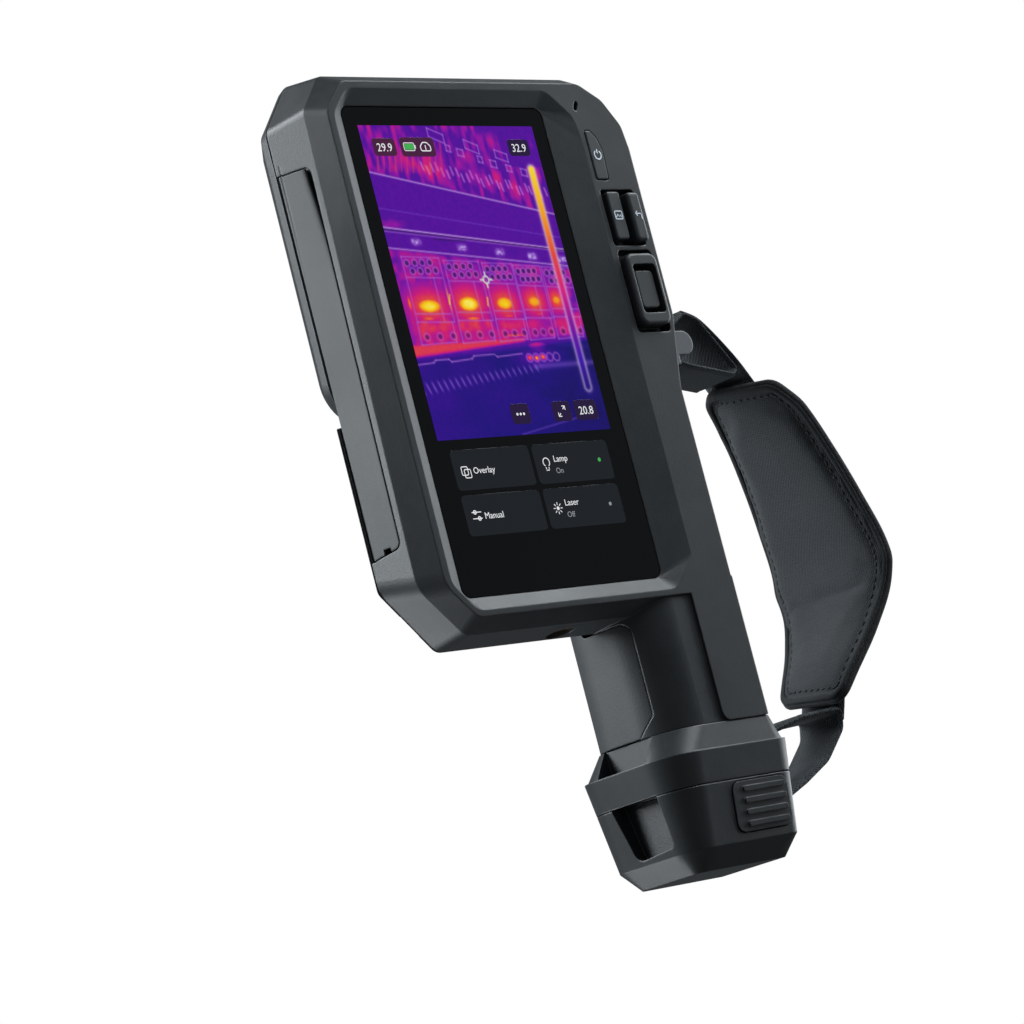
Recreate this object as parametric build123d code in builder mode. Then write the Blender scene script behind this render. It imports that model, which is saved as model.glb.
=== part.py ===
from build123d import *
import os

os.makedirs("parts", exist_ok=True)

# Millimetres. The screen faces -Y, +X is to the right of someone looking at the screen, +Z is up.
# The origin is the centre of the battery foot's flat underside.

# ---- driving dimensions ---------------------------------------------------------------------
crest_y = -19.0          # plane of the rim round the screen, and of the button strip
edge_y = -11.7           # where the steep outer chamfer meets the side faces
seam_y = 2.0             # joint between the rear and the front shells
nose_y = 20.0            # flat face of the lens nose
cover_y = 6.4            # front face of the thin lower cover
wall = 2.6

glass_x, glass_z = -45.9, 154.6      # centre of the cover glass
glass_w, glass_h, glass_t = 79.0, 141.3, 1.1
glass_y = -17.0                      # its outer face
glass_gap = 0.15
view_w, view_h = 68.5, 121.8         # lit area of the display

nose_foot_z = 139.0                  # underside of the lens nose
lens_x, lens_z = -42.0, 190.0        # optical axis

grip_top_z = 73.4                    # grip column meets the head
grip_foot_z = 40.5                   # grip column meets the collar
collar_top_z, collar_foot_z = 33.0, 23.7
foot_top_z = 23.4                    # top of the battery foot
foot_draft = 7.4                     # degrees, all round the collar and the battery foot
foot_slope = 0.13                    # its tangent
stick_top_z = 71.5                   # top of the battery stick inside the grip

strap_w = 18.0                       # webbing width
strap_t = 2.0
strap_upper_line = [(28.6, 150.0), (29.2, 158.6), (41.0, 165.5), (47.0, 163.0), (59.5, 146.5), (56.5, 143.8),
                    (40.0, 147.0)]
strap_upper_radii = [3.4, 3.4, 4, 4, 1.9, 1.9, 6]
strap_lower_line = [(21.6, 20.2), (21.6, 36.0), (46.0, 40.6), (65.4, 41.6), (63.2, 34.0), (53.5, 25.6),
                    (42.0, 20.4), (29.0, 15.6)]
strap_lower_radii = [3.0, 3.0, 8, 2.4, 6, 8, 8, 4]

# Hand pad: its middle line in XZ, and its outline in YZ
pad_middle = [(57.6, 143.4), (67.0, 130.5), (73.1, 115.0), (77.3, 100.0), (80.2, 85.0), (79.0, 75.0),
              (72.0, 63.0), (61.0, 50.0), (54.2, 41.8)]
pad_outline = [(8.5, 143.2), (12.2, 131.0), (18.9, 81.0), (9.0, 46.0), (-17.0, 42.0), (-27.9, 81.0),
               (-21.2, 131.0), (-17.5, 139.0)]
pad_radii = [6, 12, 10, 5, 5, 10, 12, 5]
pad_t = 6.4

# Head outline: left low, left high, right, bottom, top, upper cut (x, z), lower cut (x, z)
crest_rim = (-92.6, -92.2, 24.6, 78.2, 232.0, (8.0, 9.0), (9.1, 9.3))
edge_rim = (-96.4, -94.2, 27.2, 74.8, 236.0, (8.6, 10.4), (13.2, 14.0))
seam_rim = (-97.4, -96.6, 28.5, 73.6, 238.3, (11.4, 13.9), (15.8, 18.0))
waist = 4.8                          # how far the right side steps in below the buttons
waist_top_z, waist_foot_z = 161.0, 139.0
rim_radii = [9, 4, 3.5, 6, 6, 6, 6, 12, 12, 2, 5]


# ---- shared outlines and tools --------------------------------------------------------------
def facing(y):
    """A plane parallel to the screen at this y; its sketch x is X and its sketch y is Z."""
    return Plane.XZ.offset(-y)


def inset(rim, t, left):
    """The same head outline, moved inward by t, and by left on its left side."""
    low, high, right, bottom, top, upper, lower = rim
    cut = 0.586 * t
    return (low + left, high + left, right - t, bottom + t, top - t,
            (upper[0] - cut, upper[1] - cut), (lower[0] - cut, lower[1] - cut))


def head_points(rim):
    low, high, right, bottom, top, upper, lower = rim
    return [(low, bottom + lower[1]), (high, top - upper[1]), (high + upper[0], top),
            (right - 15.1, top + 0.3), (right - 6.6, top - 4.7), (right - 1.0, top - 12.6),
            (right, top - 20.0), (right, waist_top_z), (right - waist, waist_foot_z),
            (right - waist, bottom), (low + lower[0], bottom)]


def outline(plane, points, radii):
    """A face on a plane, from an outline with rounded corners."""
    with BuildSketch(plane) as face:
        with BuildLine():
            FilletPolyline(*points, radius=radii, close=True)
        make_face()
    return face.sketch


def head_solid():
    """The head's outer shape from the crest to the seam."""
    rims = ((crest_rim, crest_y), (edge_rim, edge_y), (seam_rim, seam_y))
    loft([outline(facing(y), head_points(rim), rim_radii) for rim, y in rims], ruled=True)


def slab(x, y, z, mode=Mode.ADD):
    """A box between pairs of limits."""
    with Locations(((x[0] + x[1]) / 2, (y[0] + y[1]) / 2, (z[0] + z[1]) / 2)):
        Box(x[1] - x[0], y[1] - y[0], z[1] - z[0], mode=mode)


def screen_plate(x, z, w, h, y, corner, mode=Mode.ADD):
    """A rounded plate parallel to the screen, centred at x, z, between the limits y."""
    with BuildSketch(facing(y[0])) as face:
        with Locations((x, z)):
            RectangleRounded(w, h, corner)
    extrude(face.sketch, amount=y[0] - y[1], mode=mode)


def disc(x, z, r, y, mode=Mode.ADD):
    """A cylinder along Y."""
    with BuildSketch(facing(y[0])) as face:
        with Locations((x, z)):
            Circle(r)
    extrude(face.sketch, amount=y[0] - y[1], mode=mode)


def upright(points, radii, z, mode=Mode.ADD, taper=0):
    """A prism along Z from an outline with rounded corners."""
    extrude(outline(Plane.XY.offset(z[0]), points, radii), amount=z[1] - z[0], taper=taper, mode=mode)


def rectangle_points(x, y):
    return [(x[0], y[0]), (x[1], y[0]), (x[1], y[1]), (x[0], y[1])]


def finish(builder, name):
    builder.part.label = name
    export_step(builder.part, f"parts/{name}.step")


# ---- grip and foot outlines -----------------------------------------------------------------
grip_x, grip_y = (-20.0, 22.0), (-18.0, 19.0)
grip_radii = [14, 3, 14, 14]
well_x, well_y = (-17.8, 19.8), (-15.8, 16.8)
well_radii = [11.8, 4, 11.8, 11.8]
panel_y = -11.0                       # rear edge of the grip shell
shell_gap = 0.2
foot_x, foot_y = (-26.0, 27.0), (-21.3, 21.3)
foot_radii = [12, 8.3, 8.3, 12]
slot_y = (-9.6, 9.6)
left_slot_x, right_slot_x = (-23.8, -19.0), (21.0, 24.9)

spine_x = (1.5, 20.2)                 # raised strip that runs down to the collar

# ---- rear housing ---------------------------------------------------------------------------
cavity_rim = (-91.4, -91.4, 24.2, 78.4, 232.2, (8.0, 10.0), (14.0, 14.0))
ledge_y = -15.4                       # shelf under the glass gasket
frame_back_y = -12.9                  # inside of the screen frame
bezel_rim = [(-90.2, 88.0), (-89.9, 222.4), (-82.9, 230.0), (-4.5, 230.0), (4.4, 222.0),
             (5.7, 214.9), (5.7, 89.4), (4.1, 87.6), (-3.9, 79.8), (-82.6, 79.8)]
power_key = [(7.5, 202.7), (12.4, 202.7), (12.9, 211.5), (11.6, 215.6), (9.6, 217.7), (7.5, 217.7)]
pocket_z = (182.3, 199.6)
nav_z = (155.8, 181.0)
door_z = (100.5, 211.0)
door_y = (-9.4, 1.6)
door_gap = 0.4
hinge_x, hinge_y, barrel_r, hinge_r = -96.0, 0.5, 1.1, 0.3
bay_x = -94.2
boss_places = [(-84.0, 92.0), (-62.0, 84.5), (12.0, 150.0), (-70.0, 226.0), (10.0, 225.5), (-32.0, 226.5)]
keypad_x, keypad_z, keypad_w, keypad_h = 14.4, 187.5, 14.8, 65.4
lug_y, lug_z = (-13.0, 13.0), (147.5, 160.5)
tripod_x, tripod_y, tripod_r = -38.0, -3.0, 3.175


def door_outline(gap):
    """The port door's outline in the YZ plane, grown by gap."""
    y0, y1 = door_y[0] - gap, door_y[1] + gap
    z0, z1 = door_z[0] - gap, door_z[1] + gap
    points = [(y1, z0), (y1, z1), (y0, z1 - 0.8), (y0, z0 + 1.2)]
    return outline(Plane.YZ.offset(-100.0), points, [0.2, 0.2, 2.4 + gap, 2.0 + gap])


with BuildPart() as rear_housing:
    head_solid()
    upright(rectangle_points(grip_x, grip_y), grip_radii, (grip_foot_z, 78.0))
    # only the rear of the grip column belongs to this shell
    with BuildSketch(Plane.YZ.offset(-30)):
        with BuildLine():
            FilletPolyline((30, grip_top_z), (panel_y, grip_top_z), (panel_y, grip_foot_z + 5.5),
                           (panel_y + 6.5, grip_foot_z - 1), (30, grip_foot_z - 1),
                           radius=[1, 3.5, 2, 1, 1], close=True)
        make_face()
    extrude(amount=60, mode=Mode.SUBTRACT)
    slab((-30, 30), (seam_y, 30), (grip_foot_z, 80), mode=Mode.SUBTRACT)
    # raised spine strip
    with BuildSketch(facing(crest_y)):
        with BuildLine():
            FilletPolyline((spine_x[0], 82), (spine_x[0], grip_foot_z), (spine_x[1], grip_foot_z),
                           (spine_x[1], 82), radius=[0.5, 3.0, 0.5, 0.5], close=True)
        make_face()
    extrude(amount=-4.0)
    # battery well
    upright(rectangle_points(well_x, well_y), well_radii, (grip_foot_z - 1, grip_top_z), mode=Mode.SUBTRACT)
    # screen frame: sloped inner faces, glass seat, window
    with BuildSketch(facing(crest_y)):
        with BuildLine():
            FilletPolyline(*bezel_rim, radius=[6, 6, 6, 6, 6, 8, 2, 8, 6, 6], close=True)
        make_face()
    with BuildSketch(facing(glass_y)):
        with BuildLine():
            left, right = glass_x - glass_w / 2 - glass_gap, glass_x + glass_w / 2 + glass_gap
            low, high = glass_z - glass_h / 2 - glass_gap, glass_z + glass_h / 2 + glass_gap
            cut, mid = 1.6, 0.55
            FilletPolyline((left, low + cut), (left, high - cut), (left + cut, high), (right - cut, high),
                           (right - mid, high - mid), (right, high - cut), (right, low + cut),
                           (right - mid, low + mid), (right - cut, low), (left + cut, low),
                           radius=[1.2, 1.2, 1.2, 0.8, 0.8, 0.8, 0.8, 0.8, 0.8, 1.2], close=True)
        make_face()
    loft(ruled=True, mode=Mode.SUBTRACT)
    screen_plate(glass_x, glass_z, glass_w + 2 * glass_gap, glass_h + 2 * glass_gap, (glass_y, ledge_y), 3.1,
                 mode=Mode.SUBTRACT)
    screen_plate(glass_x, glass_z, glass_w - 5, glass_h - 5, (ledge_y, seam_y), 1.5, mode=Mode.SUBTRACT)
    # inside of the head
    with BuildSketch(facing(frame_back_y)):
        with BuildLine():
            Polyline(*head_points(cavity_rim), close=True)
        make_face()
    extrude(amount=frame_back_y - seam_y, mode=Mode.SUBTRACT)
    screen_plate(keypad_x, keypad_z, keypad_w + 0.6, keypad_h + 0.6, (-16.4, seam_y), 2.0,
                 mode=Mode.SUBTRACT)
    # button openings
    with BuildSketch(facing(crest_y)):
        with BuildLine():
            FilletPolyline(*power_key, radius=[0.8, 0.8, 3, 2, 1, 0.6], close=True)
        make_face()
        offset(amount=0.3)
    extrude(amount=crest_y - frame_back_y, mode=Mode.SUBTRACT)
    screen_plate(14.4, sum(pocket_z) / 2, 13.8, pocket_z[1] - pocket_z[0], (crest_y, frame_back_y), 1.0,
                 mode=Mode.SUBTRACT)
    screen_plate(15.1, sum(nav_z) / 2, 14.2, nav_z[1] - nav_z[0], (crest_y, frame_back_y), 1.6,
                 mode=Mode.SUBTRACT)
    with BuildSketch(facing(crest_y)):
        with Locations(Location((6.6, 225.4), 62)):
            SlotOverall(3.2, 1.4)
    extrude(amount=crest_y - frame_back_y, mode=Mode.SUBTRACT)
    # bosses for the front screws
    for x, z in boss_places:
        disc(x, z, 2.6, (frame_back_y, seam_y))
        disc(x, z, 1.25, (-8.0, seam_y), mode=Mode.SUBTRACT)
    # port bay, door hinge and sockets
    extrude(door_outline(door_gap), amount=100.0 + bay_x, mode=Mode.SUBTRACT)
    slab((-100, bay_x), (0, seam_y + 1), (door_z[0] - door_gap, door_z[1] + door_gap), mode=Mode.SUBTRACT)
    with BuildSketch(Plane.XY.offset(door_z[0] - 3)):
        with Locations((hinge_x, hinge_y)):
            Circle(hinge_r + 0.02)
    extrude(amount=door_z[1] - door_z[0] + 6, mode=Mode.SUBTRACT)
    slab((bay_x - 1, -90), (-7.4, -3.6), (175.0, 184.4), mode=Mode.SUBTRACT)
    slab((bay_x - 1, -90), (-6.9, -4.1), (140.0, 152.6), mode=Mode.SUBTRACT)
    slab((bay_x - 1, -90), (-8.0, -3.0), (115.0, 129.6), mode=Mode.SUBTRACT)
    # seat of the strap lug, tripod insert
    slab((24.0, 40), (lug_y[0] - 0.1, 30), (lug_z[0] - 0.1, lug_z[1] + 0.1), mode=Mode.SUBTRACT)
    slab((tripod_x - 7, tripod_x + 7), (tripod_y - 6, seam_y), (74.5, 86.0))
    with BuildSketch(Plane.XY.offset(70.0)):
        with Locations((tripod_x, tripod_y)):
            Circle(4.3)
    extrude(amount=15.0, mode=Mode.SUBTRACT)
finish(rear_housing, "rear_housing")

# ---- front shells ---------------------------------------------------------------------------
screw_heads = [(x, z) for x, z in boss_places if z < nose_foot_z]
nose_heads = [(x, z) for x, z in boss_places if z > nose_foot_z]
# depth, inset all round, inset on the left side; the first three make the shadow gap at the seam
nose_steps = [(2.0, 0.5, 0.5), (2.35, 0.5, 0.5), (2.45, 0.0, 0.0), (5.5, 0.4, 0.5), (9.0, 0.8, 3.0),
              (13.5, 1.6, 7.6), (17.5, 3.9, 12.0), (20.0, 8.4, 15.5)]
nose_hollow = [(seam_y, 2.6, 2.9), (8.0, 3.2, 5.3), (14.8, 4.0, 12.2), (17.4, 8.6, 16.0)]
panel_x, panel_z, panel_w, panel_h = 2.0, 188.0, 26.0, 66.0


def nose_section(y, t, left):
    """The nose outline: the head's outline cut off at the nose's underside, its left corner cut deeper."""
    rim = inset(seam_rim, t, left)
    corner = 1.5 * min(left, 3.0)
    rim = rim[:5] + ((rim[5][0] + corner, rim[5][1] + corner), rim[6])
    points = head_points(rim)[1:8]
    rise = 0.22 * (y - seam_y) + 0.6 * t
    points = [(points[0][0], nose_foot_z + rise)] + points
    points[-1] = (points[-1][0], max(waist_top_z, nose_foot_z + rise + 10))
    points.append((rim[2] - waist, nose_foot_z + rise))
    return outline(facing(y), points, [12, 4, 4, 6, 6, 6, 6, 8, 3])


with BuildPart() as lens_housing:
    loft([nose_section(*step) for step in nose_steps], ruled=True)
    loft([nose_section(*step) for step in nose_hollow], ruled=True, mode=Mode.SUBTRACT)
    disc(lens_x, lens_z, 24.0, (nose_y - wall, nose_y - 0.8))
    disc(lens_x, lens_z, 19.4, (nose_y - wall - 1, nose_y + 1), mode=Mode.SUBTRACT)
    disc(lens_x, lens_z, 24.2, (nose_y - 0.8, nose_y + 1), mode=Mode.SUBTRACT)
    screen_plate(panel_x, panel_z, panel_w + 0.3, panel_h + 0.3, (nose_y - 1.4, nose_y + 1), 6.1,
                 mode=Mode.SUBTRACT)
    screen_plate(panel_x, panel_z, panel_w - 4, panel_h - 4, (nose_y - wall - 1, nose_y), 4.0,
                 mode=Mode.SUBTRACT)
    for x, z in nose_heads:
        disc(x, z, 3.4, (seam_y, nose_y - wall))
        disc(x, z, 1.4, (seam_y - 1, 11.5), mode=Mode.SUBTRACT)
        disc(x, z, 2.5, (7.0, nose_y + 1), mode=Mode.SUBTRACT)
    slab((24.0, 40), (-1, lug_y[1] + 0.1), (lug_z[0] - 0.1, lug_z[1] + 0.1), mode=Mode.SUBTRACT)
finish(lens_housing, "lens_housing")

cover_steps = [(2.0, 0.5, 0.5), (2.35, 0.5, 0.5), (2.45, 0.0, 0.0), (2.8, 0.1, 0.2), (cover_y, 2.2, 4.2)]


def cover_section(y, t, left):
    """The thin cover's outline: the head's outline below the nose."""
    points = head_points(inset(seam_rim, t, left))
    top = nose_foot_z - 0.2
    points = [points[0], (points[0][0], top), (points[8][0], top), points[9], points[10]]
    return outline(facing(y), points, [3, 0.5, 0.5, 2, 4])


with BuildPart() as lower_cover:
    loft([cover_section(*step) for step in cover_steps], ruled=True)
    slab((-91.4, 20.0), (seam_y, 3.8), (79.0, nose_foot_z - 3), mode=Mode.SUBTRACT)
    slab((grip_x[0] + 4, grip_x[1] - 4), (0, 10), (90.0, nose_foot_z - 8), mode=Mode.SUBTRACT)
    for x, z in screw_heads:
        disc(x, z, 3.2, (seam_y, 4.4))
        disc(x, z, 1.4, (seam_y - 1, 5), mode=Mode.SUBTRACT)
        disc(x, z, 2.5, (4.4, 8), mode=Mode.SUBTRACT)
finish(lower_cover, "lower_cover")


# ---- display stack --------------------------------------------------------------------------
with BuildPart() as cover_glass:
    screen_plate(glass_x, glass_z, glass_w, glass_h, (glass_y, glass_y + glass_t), 3.0)
    chamfer(cover_glass.faces().sort_by(Axis.Y)[0].edges(), length=0.3)
finish(cover_glass, "cover_glass")

with BuildPart() as display_gasket:
    screen_plate(glass_x, glass_z, glass_w, glass_h, (glass_y + glass_t, ledge_y), 3.0)
    screen_plate(glass_x, glass_z, glass_w - 5, glass_h - 5, (glass_y + glass_t, ledge_y), 1.5,
                 mode=Mode.SUBTRACT)
finish(display_gasket, "display_gasket")

with BuildPart() as display_panel:
    screen_plate(glass_x, glass_z, view_w + 4, view_h + 12, (glass_y + glass_t, -13.4), 1.0)
finish(display_panel, "display_panel")

with BuildPart() as chassis_plate:
    screen_plate(-45.0, 156.0, 84.0, 134.0, (-12.6, -11.4), 4.0)
    for z in (100, 130, 160, 190, 215):
        screen_plate(-45.0, z, 60.0, 3.0, (-11.4, -10.4), 0.5)
    disc(lens_x, lens_z, 9.0, (-12.6, -10.0), mode=Mode.SUBTRACT)
    for x, z in boss_places:
        disc(x, z, 3.0, (-13.0, -10.0), mode=Mode.SUBTRACT)
finish(chassis_plate, "chassis_plate")

board_y = (-8.6, -7.0)
with BuildPart() as main_board:
    screen_plate(-45.0, 155.0, 76.0, 128.0, board_y, 2.0)
    for x, z, w, h, t in ((-60, 190, 15, 15, 1.4), (-60, 165, 12, 12, 1.2), (-30, 125, 17, 17, 1.6),
                          (-62, 125, 11, 13, 1.2), (-25, 160, 9, 9, 1.0), (-42, 148, 6, 5, 1.0)):
        screen_plate(x, z, w, h, (board_y[1], board_y[1] + t), 0.6)
    for x, z in boss_places:
        disc(x, z, 3.2, (-9.5, -6.0), mode=Mode.SUBTRACT)
finish(main_board, "main_board")

# ---- optics ---------------------------------------------------------------------------------
with BuildPart() as thermal_core:
    screen_plate(lens_x, lens_z, 30.0, 30.0, (-4.0, 5.0), 2.0)
    disc(lens_x, lens_z, 12.0, (5.0, 8.0))
finish(thermal_core, "thermal_core")

with BuildPart() as lens_barrel:
    disc(lens_x, lens_z, 17.0, (8.0, 12.0))
    disc(lens_x, lens_z, 19.3, (12.0, 29.0))
    disc(lens_x, lens_z, 21.5, (29.0, 30.0))
    disc(lens_x, lens_z, 16.0, (24.0, 30.5), mode=Mode.SUBTRACT)
    disc(lens_x, lens_z, 14.0, (12.0, 24.5), mode=Mode.SUBTRACT)
    disc(lens_x, lens_z, 9.0, (7.0, 12.5), mode=Mode.SUBTRACT)
finish(lens_barrel, "lens_barrel")

ring_teeth = 36
with BuildPart() as focus_ring:
    disc(lens_x, lens_z, 23.6, (nose_y - 0.3, 28.8))
    disc(lens_x, lens_z, 19.35, (nose_y - 1, 29.5), mode=Mode.SUBTRACT)
    with BuildSketch(facing(21.4)):
        with Locations((lens_x, lens_z)):
            with PolarLocations(23.9, ring_teeth):
                Circle(0.9)
    extrude(amount=-6.2, mode=Mode.SUBTRACT)
finish(focus_ring, "focus_ring")

lens_dome_r = 58.5
with BuildPart() as infrared_lens:
    disc(lens_x, lens_z, 15.9, (24.1, 28.3))
    with Locations((lens_x, 28.3 - lens_dome_r, lens_z)):
        Sphere(lens_dome_r, mode=Mode.INTERSECT)
finish(infrared_lens, "infrared_lens")

camera_at, lamp_at, laser_at = (panel_x, 188.0), (169.0, 207.0), (panel_x, 178.5)
with BuildPart() as optics_panel:
    screen_plate(panel_x, panel_z, panel_w, panel_h, (nose_y - 1.4, nose_y + 0.2), 6.0)
    disc(camera_at[0], camera_at[1], 4.6, (18, 21), mode=Mode.SUBTRACT)
    for z in lamp_at:
        disc(panel_x, z, 5.6, (18, 21), mode=Mode.SUBTRACT)
    disc(laser_at[0], laser_at[1], 2.1, (18, 21), mode=Mode.SUBTRACT)
finish(optics_panel, "optics_panel")

with BuildPart() as camera_window:
    disc(camera_at[0], camera_at[1], 4.5, (nose_y - 1.2, nose_y))
finish(camera_window, "camera_window")

with BuildPart() as visual_camera:
    screen_plate(camera_at[0], camera_at[1], 11.0, 11.0, (8.0, 12.0), 1.0)
    disc(camera_at[0], camera_at[1], 3.6, (12.0, nose_y - 1.6))
finish(visual_camera, "visual_camera")

with BuildPart() as lamp_lenses:
    for z in lamp_at:
        disc(panel_x, z, 5.5, (nose_y - 1.6, nose_y))
finish(lamp_lenses, "lamp_lenses")

with BuildPart() as lamp_board:
    screen_plate(panel_x, 169.0, 16.0, 10.5, (nose_y - 4.4, nose_y - 3.2), 1.0)
    screen_plate(panel_x, 207.0, 16.0, 10.5, (nose_y - 4.4, nose_y - 3.2), 1.0)
    for z in lamp_at:
        screen_plate(panel_x, z, 4.0, 4.0, (nose_y - 3.2, nose_y - 2.0), 0.4)
finish(lamp_board, "lamp_board")

with BuildPart() as laser_module:
    disc(laser_at[0], laser_at[1], 2.0, (nose_y - 9.0, nose_y - 0.6))
finish(laser_module, "laser_module")

# ---- port door and sockets ------------------------------------------------------------------
with BuildPart() as port_door:
    head_solid()
    extrude(door_outline(0), amount=100.0 + bay_x - 0.8, mode=Mode.INTERSECT)
    # finger notch
    slab((-99, -90), (-6.0, -3.4), (door_z[0] - 1, door_z[0] + 2.0), mode=Mode.SUBTRACT)
    # back edge rounded about the hinge
    with BuildSketch(Plane.XY.offset(door_z[0] - 1)):
        with Locations((hinge_x, hinge_y + 1.5)):
            Rectangle(8, 3)
        with Locations((hinge_x, hinge_y)):
            Circle(barrel_r, mode=Mode.SUBTRACT)
    extrude(amount=door_z[1] - door_z[0] + 2, mode=Mode.SUBTRACT)
    with BuildSketch(Plane.XY.offset(door_z[0] - 1)):
        with Locations((hinge_x, hinge_y)):
            Circle(hinge_r + 0.04)
    extrude(amount=door_z[1] - door_z[0] + 2, mode=Mode.SUBTRACT)
finish(port_door, "port_door")

with BuildPart() as port_door_pin:
    with BuildSketch(Plane.XY.offset(door_z[0] - 2.8)):
        with Locations((hinge_x, hinge_y)):
            Circle(hinge_r)
    extrude(amount=door_z[1] - door_z[0] + 5.6)
finish(port_door_pin, "port_door_pin")

with BuildPart() as usb_socket:
    slab((bay_x + 0.2, -84.5), (-7.2, -3.8), (175.2, 184.2))
    slab((bay_x, -88.0), (-6.6, -4.4), (175.8, 183.6), mode=Mode.SUBTRACT)
    slab((-92.5, -87.0), (-5.8, -5.2), (176.6, 182.8))
finish(usb_socket, "usb_socket")

with BuildPart() as card_slot:
    slab((bay_x + 0.2, -78.5), (-6.7, -4.3), (140.2, 152.4))
    slab((bay_x, -82.0), (-6.1, -4.9), (140.8, 151.8), mode=Mode.SUBTRACT)
finish(card_slot, "card_slot")

with BuildPart() as video_socket:
    slab((bay_x + 0.2, -83.5), (-7.8, -3.2), (115.2, 129.4))
    slab((bay_x, -86.0), (-7.0, -4.0), (116.2, 128.4), mode=Mode.SUBTRACT)
finish(video_socket, "video_socket")

# ---- buttons --------------------------------------------------------------------------------
key_back_y = -16.0                    # inner ends of the keys, clear of the mat when pressed
mat_y = (-15.2, -14.4)

with BuildPart() as power_button:
    with BuildSketch(facing(crest_y - 0.3)):
        with BuildLine():
            FilletPolyline(*power_key, radius=[0.8, 0.8, 3, 2, 1, 0.6], close=True)
        make_face()
    extrude(amount=crest_y - 0.3 - key_back_y)
    chamfer(power_button.faces().sort_by(Axis.Y)[0].edges(), length=0.3)
finish(power_button, "power_button")

with BuildPart() as gallery_button:
    screen_plate(11.35, 191.3, 5.3, 14.6, (crest_y - 1.2, key_back_y), 1.0)
    fillet(gallery_button.faces().sort_by(Axis.Y)[0].edges(), radius=0.6)
finish(gallery_button, "gallery_button")

with BuildPart() as back_button:
    screen_plate(18.4, 190.6, 4.9, 14.8, (crest_y - 2.4, key_back_y), 1.2)
    fillet(back_button.faces().sort_by(Axis.Y)[0].edges(), radius=1.0)
finish(back_button, "back_button")

nav_x, nav_mid_z = 15.1, 168.5
with BuildPart() as nav_ring:
    screen_plate(nav_x, nav_mid_z, 12.8, 21.8, (crest_y - 2.3, -17.0), 3.0)
    fillet(nav_ring.faces().sort_by(Axis.Y)[0].edges(), radius=1.1)
    screen_plate(nav_x, nav_mid_z, 9.6, 15.0, (crest_y - 4, -16.0), 1.4, mode=Mode.SUBTRACT)
finish(nav_ring, "nav_ring")

with BuildPart() as nav_gimbal:
    screen_plate(nav_x, nav_mid_z, 13.0, 22.2, (-16.6, -15.9), 3.0)
    screen_plate(nav_x, nav_mid_z, 9.6, 15.0, (-17.0, -15.0), 1.4, mode=Mode.SUBTRACT)
finish(nav_gimbal, "nav_gimbal")

with BuildPart() as select_button:
    screen_plate(nav_x, nav_mid_z, 7.4, 11.4, (crest_y - 1.5, key_back_y), 1.4)
    fillet(select_button.faces().sort_by(Axis.Y)[0].edges(), radius=0.5)
finish(select_button, "select_button")

with BuildPart() as key_mat:
    screen_plate(keypad_x, keypad_z, keypad_w, keypad_h, mat_y, 2.0)
finish(key_mat, "key_mat")

with BuildPart() as key_board:
    screen_plate(keypad_x, keypad_z, keypad_w - 0.4, keypad_h - 0.6, (-13.6, -12.4), 1.8)
    for x, z in ((10.0, 210.0), (11.3, 191.3), (18.2, 190.6), (nav_x, nav_mid_z),
                 (nav_x, nav_mid_z + 9.2), (nav_x, nav_mid_z - 9.2)):
        disc(x, z, 1.8, (-13.9, -13.6))
finish(key_board, "key_board")

# ---- grip shell and trigger -----------------------------------------------------------------
trigger_x, trigger_w = 1.0, 13.0
trigger_pin_y, trigger_pin_z, trigger_pin_r = 13.4, 132.0, 1.0

with BuildPart() as grip_shell:
    upright(rectangle_points(grip_x, grip_y), grip_radii, (grip_foot_z + 0.2, nose_foot_z - 0.4))
    # its edge follows the rear housing and the lower cover at a small gap
    with BuildSketch(Plane.YZ.offset(-30)):
        with BuildLine():
            FilletPolyline((-30, grip_foot_z - 1), (panel_y + 6.5, grip_foot_z - 1),
                           (panel_y, grip_foot_z + 5.5), (panel_y, grip_top_z), (cover_y, grip_top_z),
                           (cover_y, 150), (-30, 150), radius=[1, 1, 2, 3.5, 1, 1, 1], close=True)
        make_face()
        offset(amount=shell_gap)
    extrude(amount=60, mode=Mode.SUBTRACT)
    upright(rectangle_points(well_x, well_y), well_radii, (grip_foot_z - 1, 150), mode=Mode.SUBTRACT)
    slab((trigger_x - trigger_w / 2 - 0.4, trigger_x + trigger_w / 2 + 0.4), (15, 30), (107.5, 136.0),
         mode=Mode.SUBTRACT)
    for x in (trigger_x - trigger_w / 2 - 2.6, trigger_x + trigger_w / 2 + 0.6):
        slab((x, x + 2.0), (trigger_pin_y - 2.6, 17.0), (trigger_pin_z - 2.6, trigger_pin_z + 2.6))
    with BuildSketch(Plane.YZ.offset(trigger_x - 12)):
        with Locations((trigger_pin_y, trigger_pin_z)):
            Circle(trigger_pin_r + 0.02)
    extrude(amount=24, mode=Mode.SUBTRACT)
finish(grip_shell, "grip_shell")

with BuildPart() as trigger:
    with BuildSketch(Plane.YZ.offset(trigger_x - trigger_w / 2)):
        with BuildLine():
            Polyline((16.0, 109.0), (13.0, 109.0), (11.6, 129.5), (11.6, 133.8), (16.0, 135.2),
                     (20.4, 134.6))
            Spline((20.4, 134.6), (22.6, 126.0), (21.8, 117.0), (24.4, 108.4),
                   tangents=((0.3, -1), (0.5, -1)))
            Line((24.4, 108.4), (16.0, 109.0))
        make_face()
    extrude(amount=trigger_w)
    with BuildSketch(Plane.YZ.offset(trigger_x - 12)):
        with Locations((trigger_pin_y, trigger_pin_z)):
            Circle(trigger_pin_r + 0.04)
    extrude(amount=24, mode=Mode.SUBTRACT)
finish(trigger, "trigger")

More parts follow.
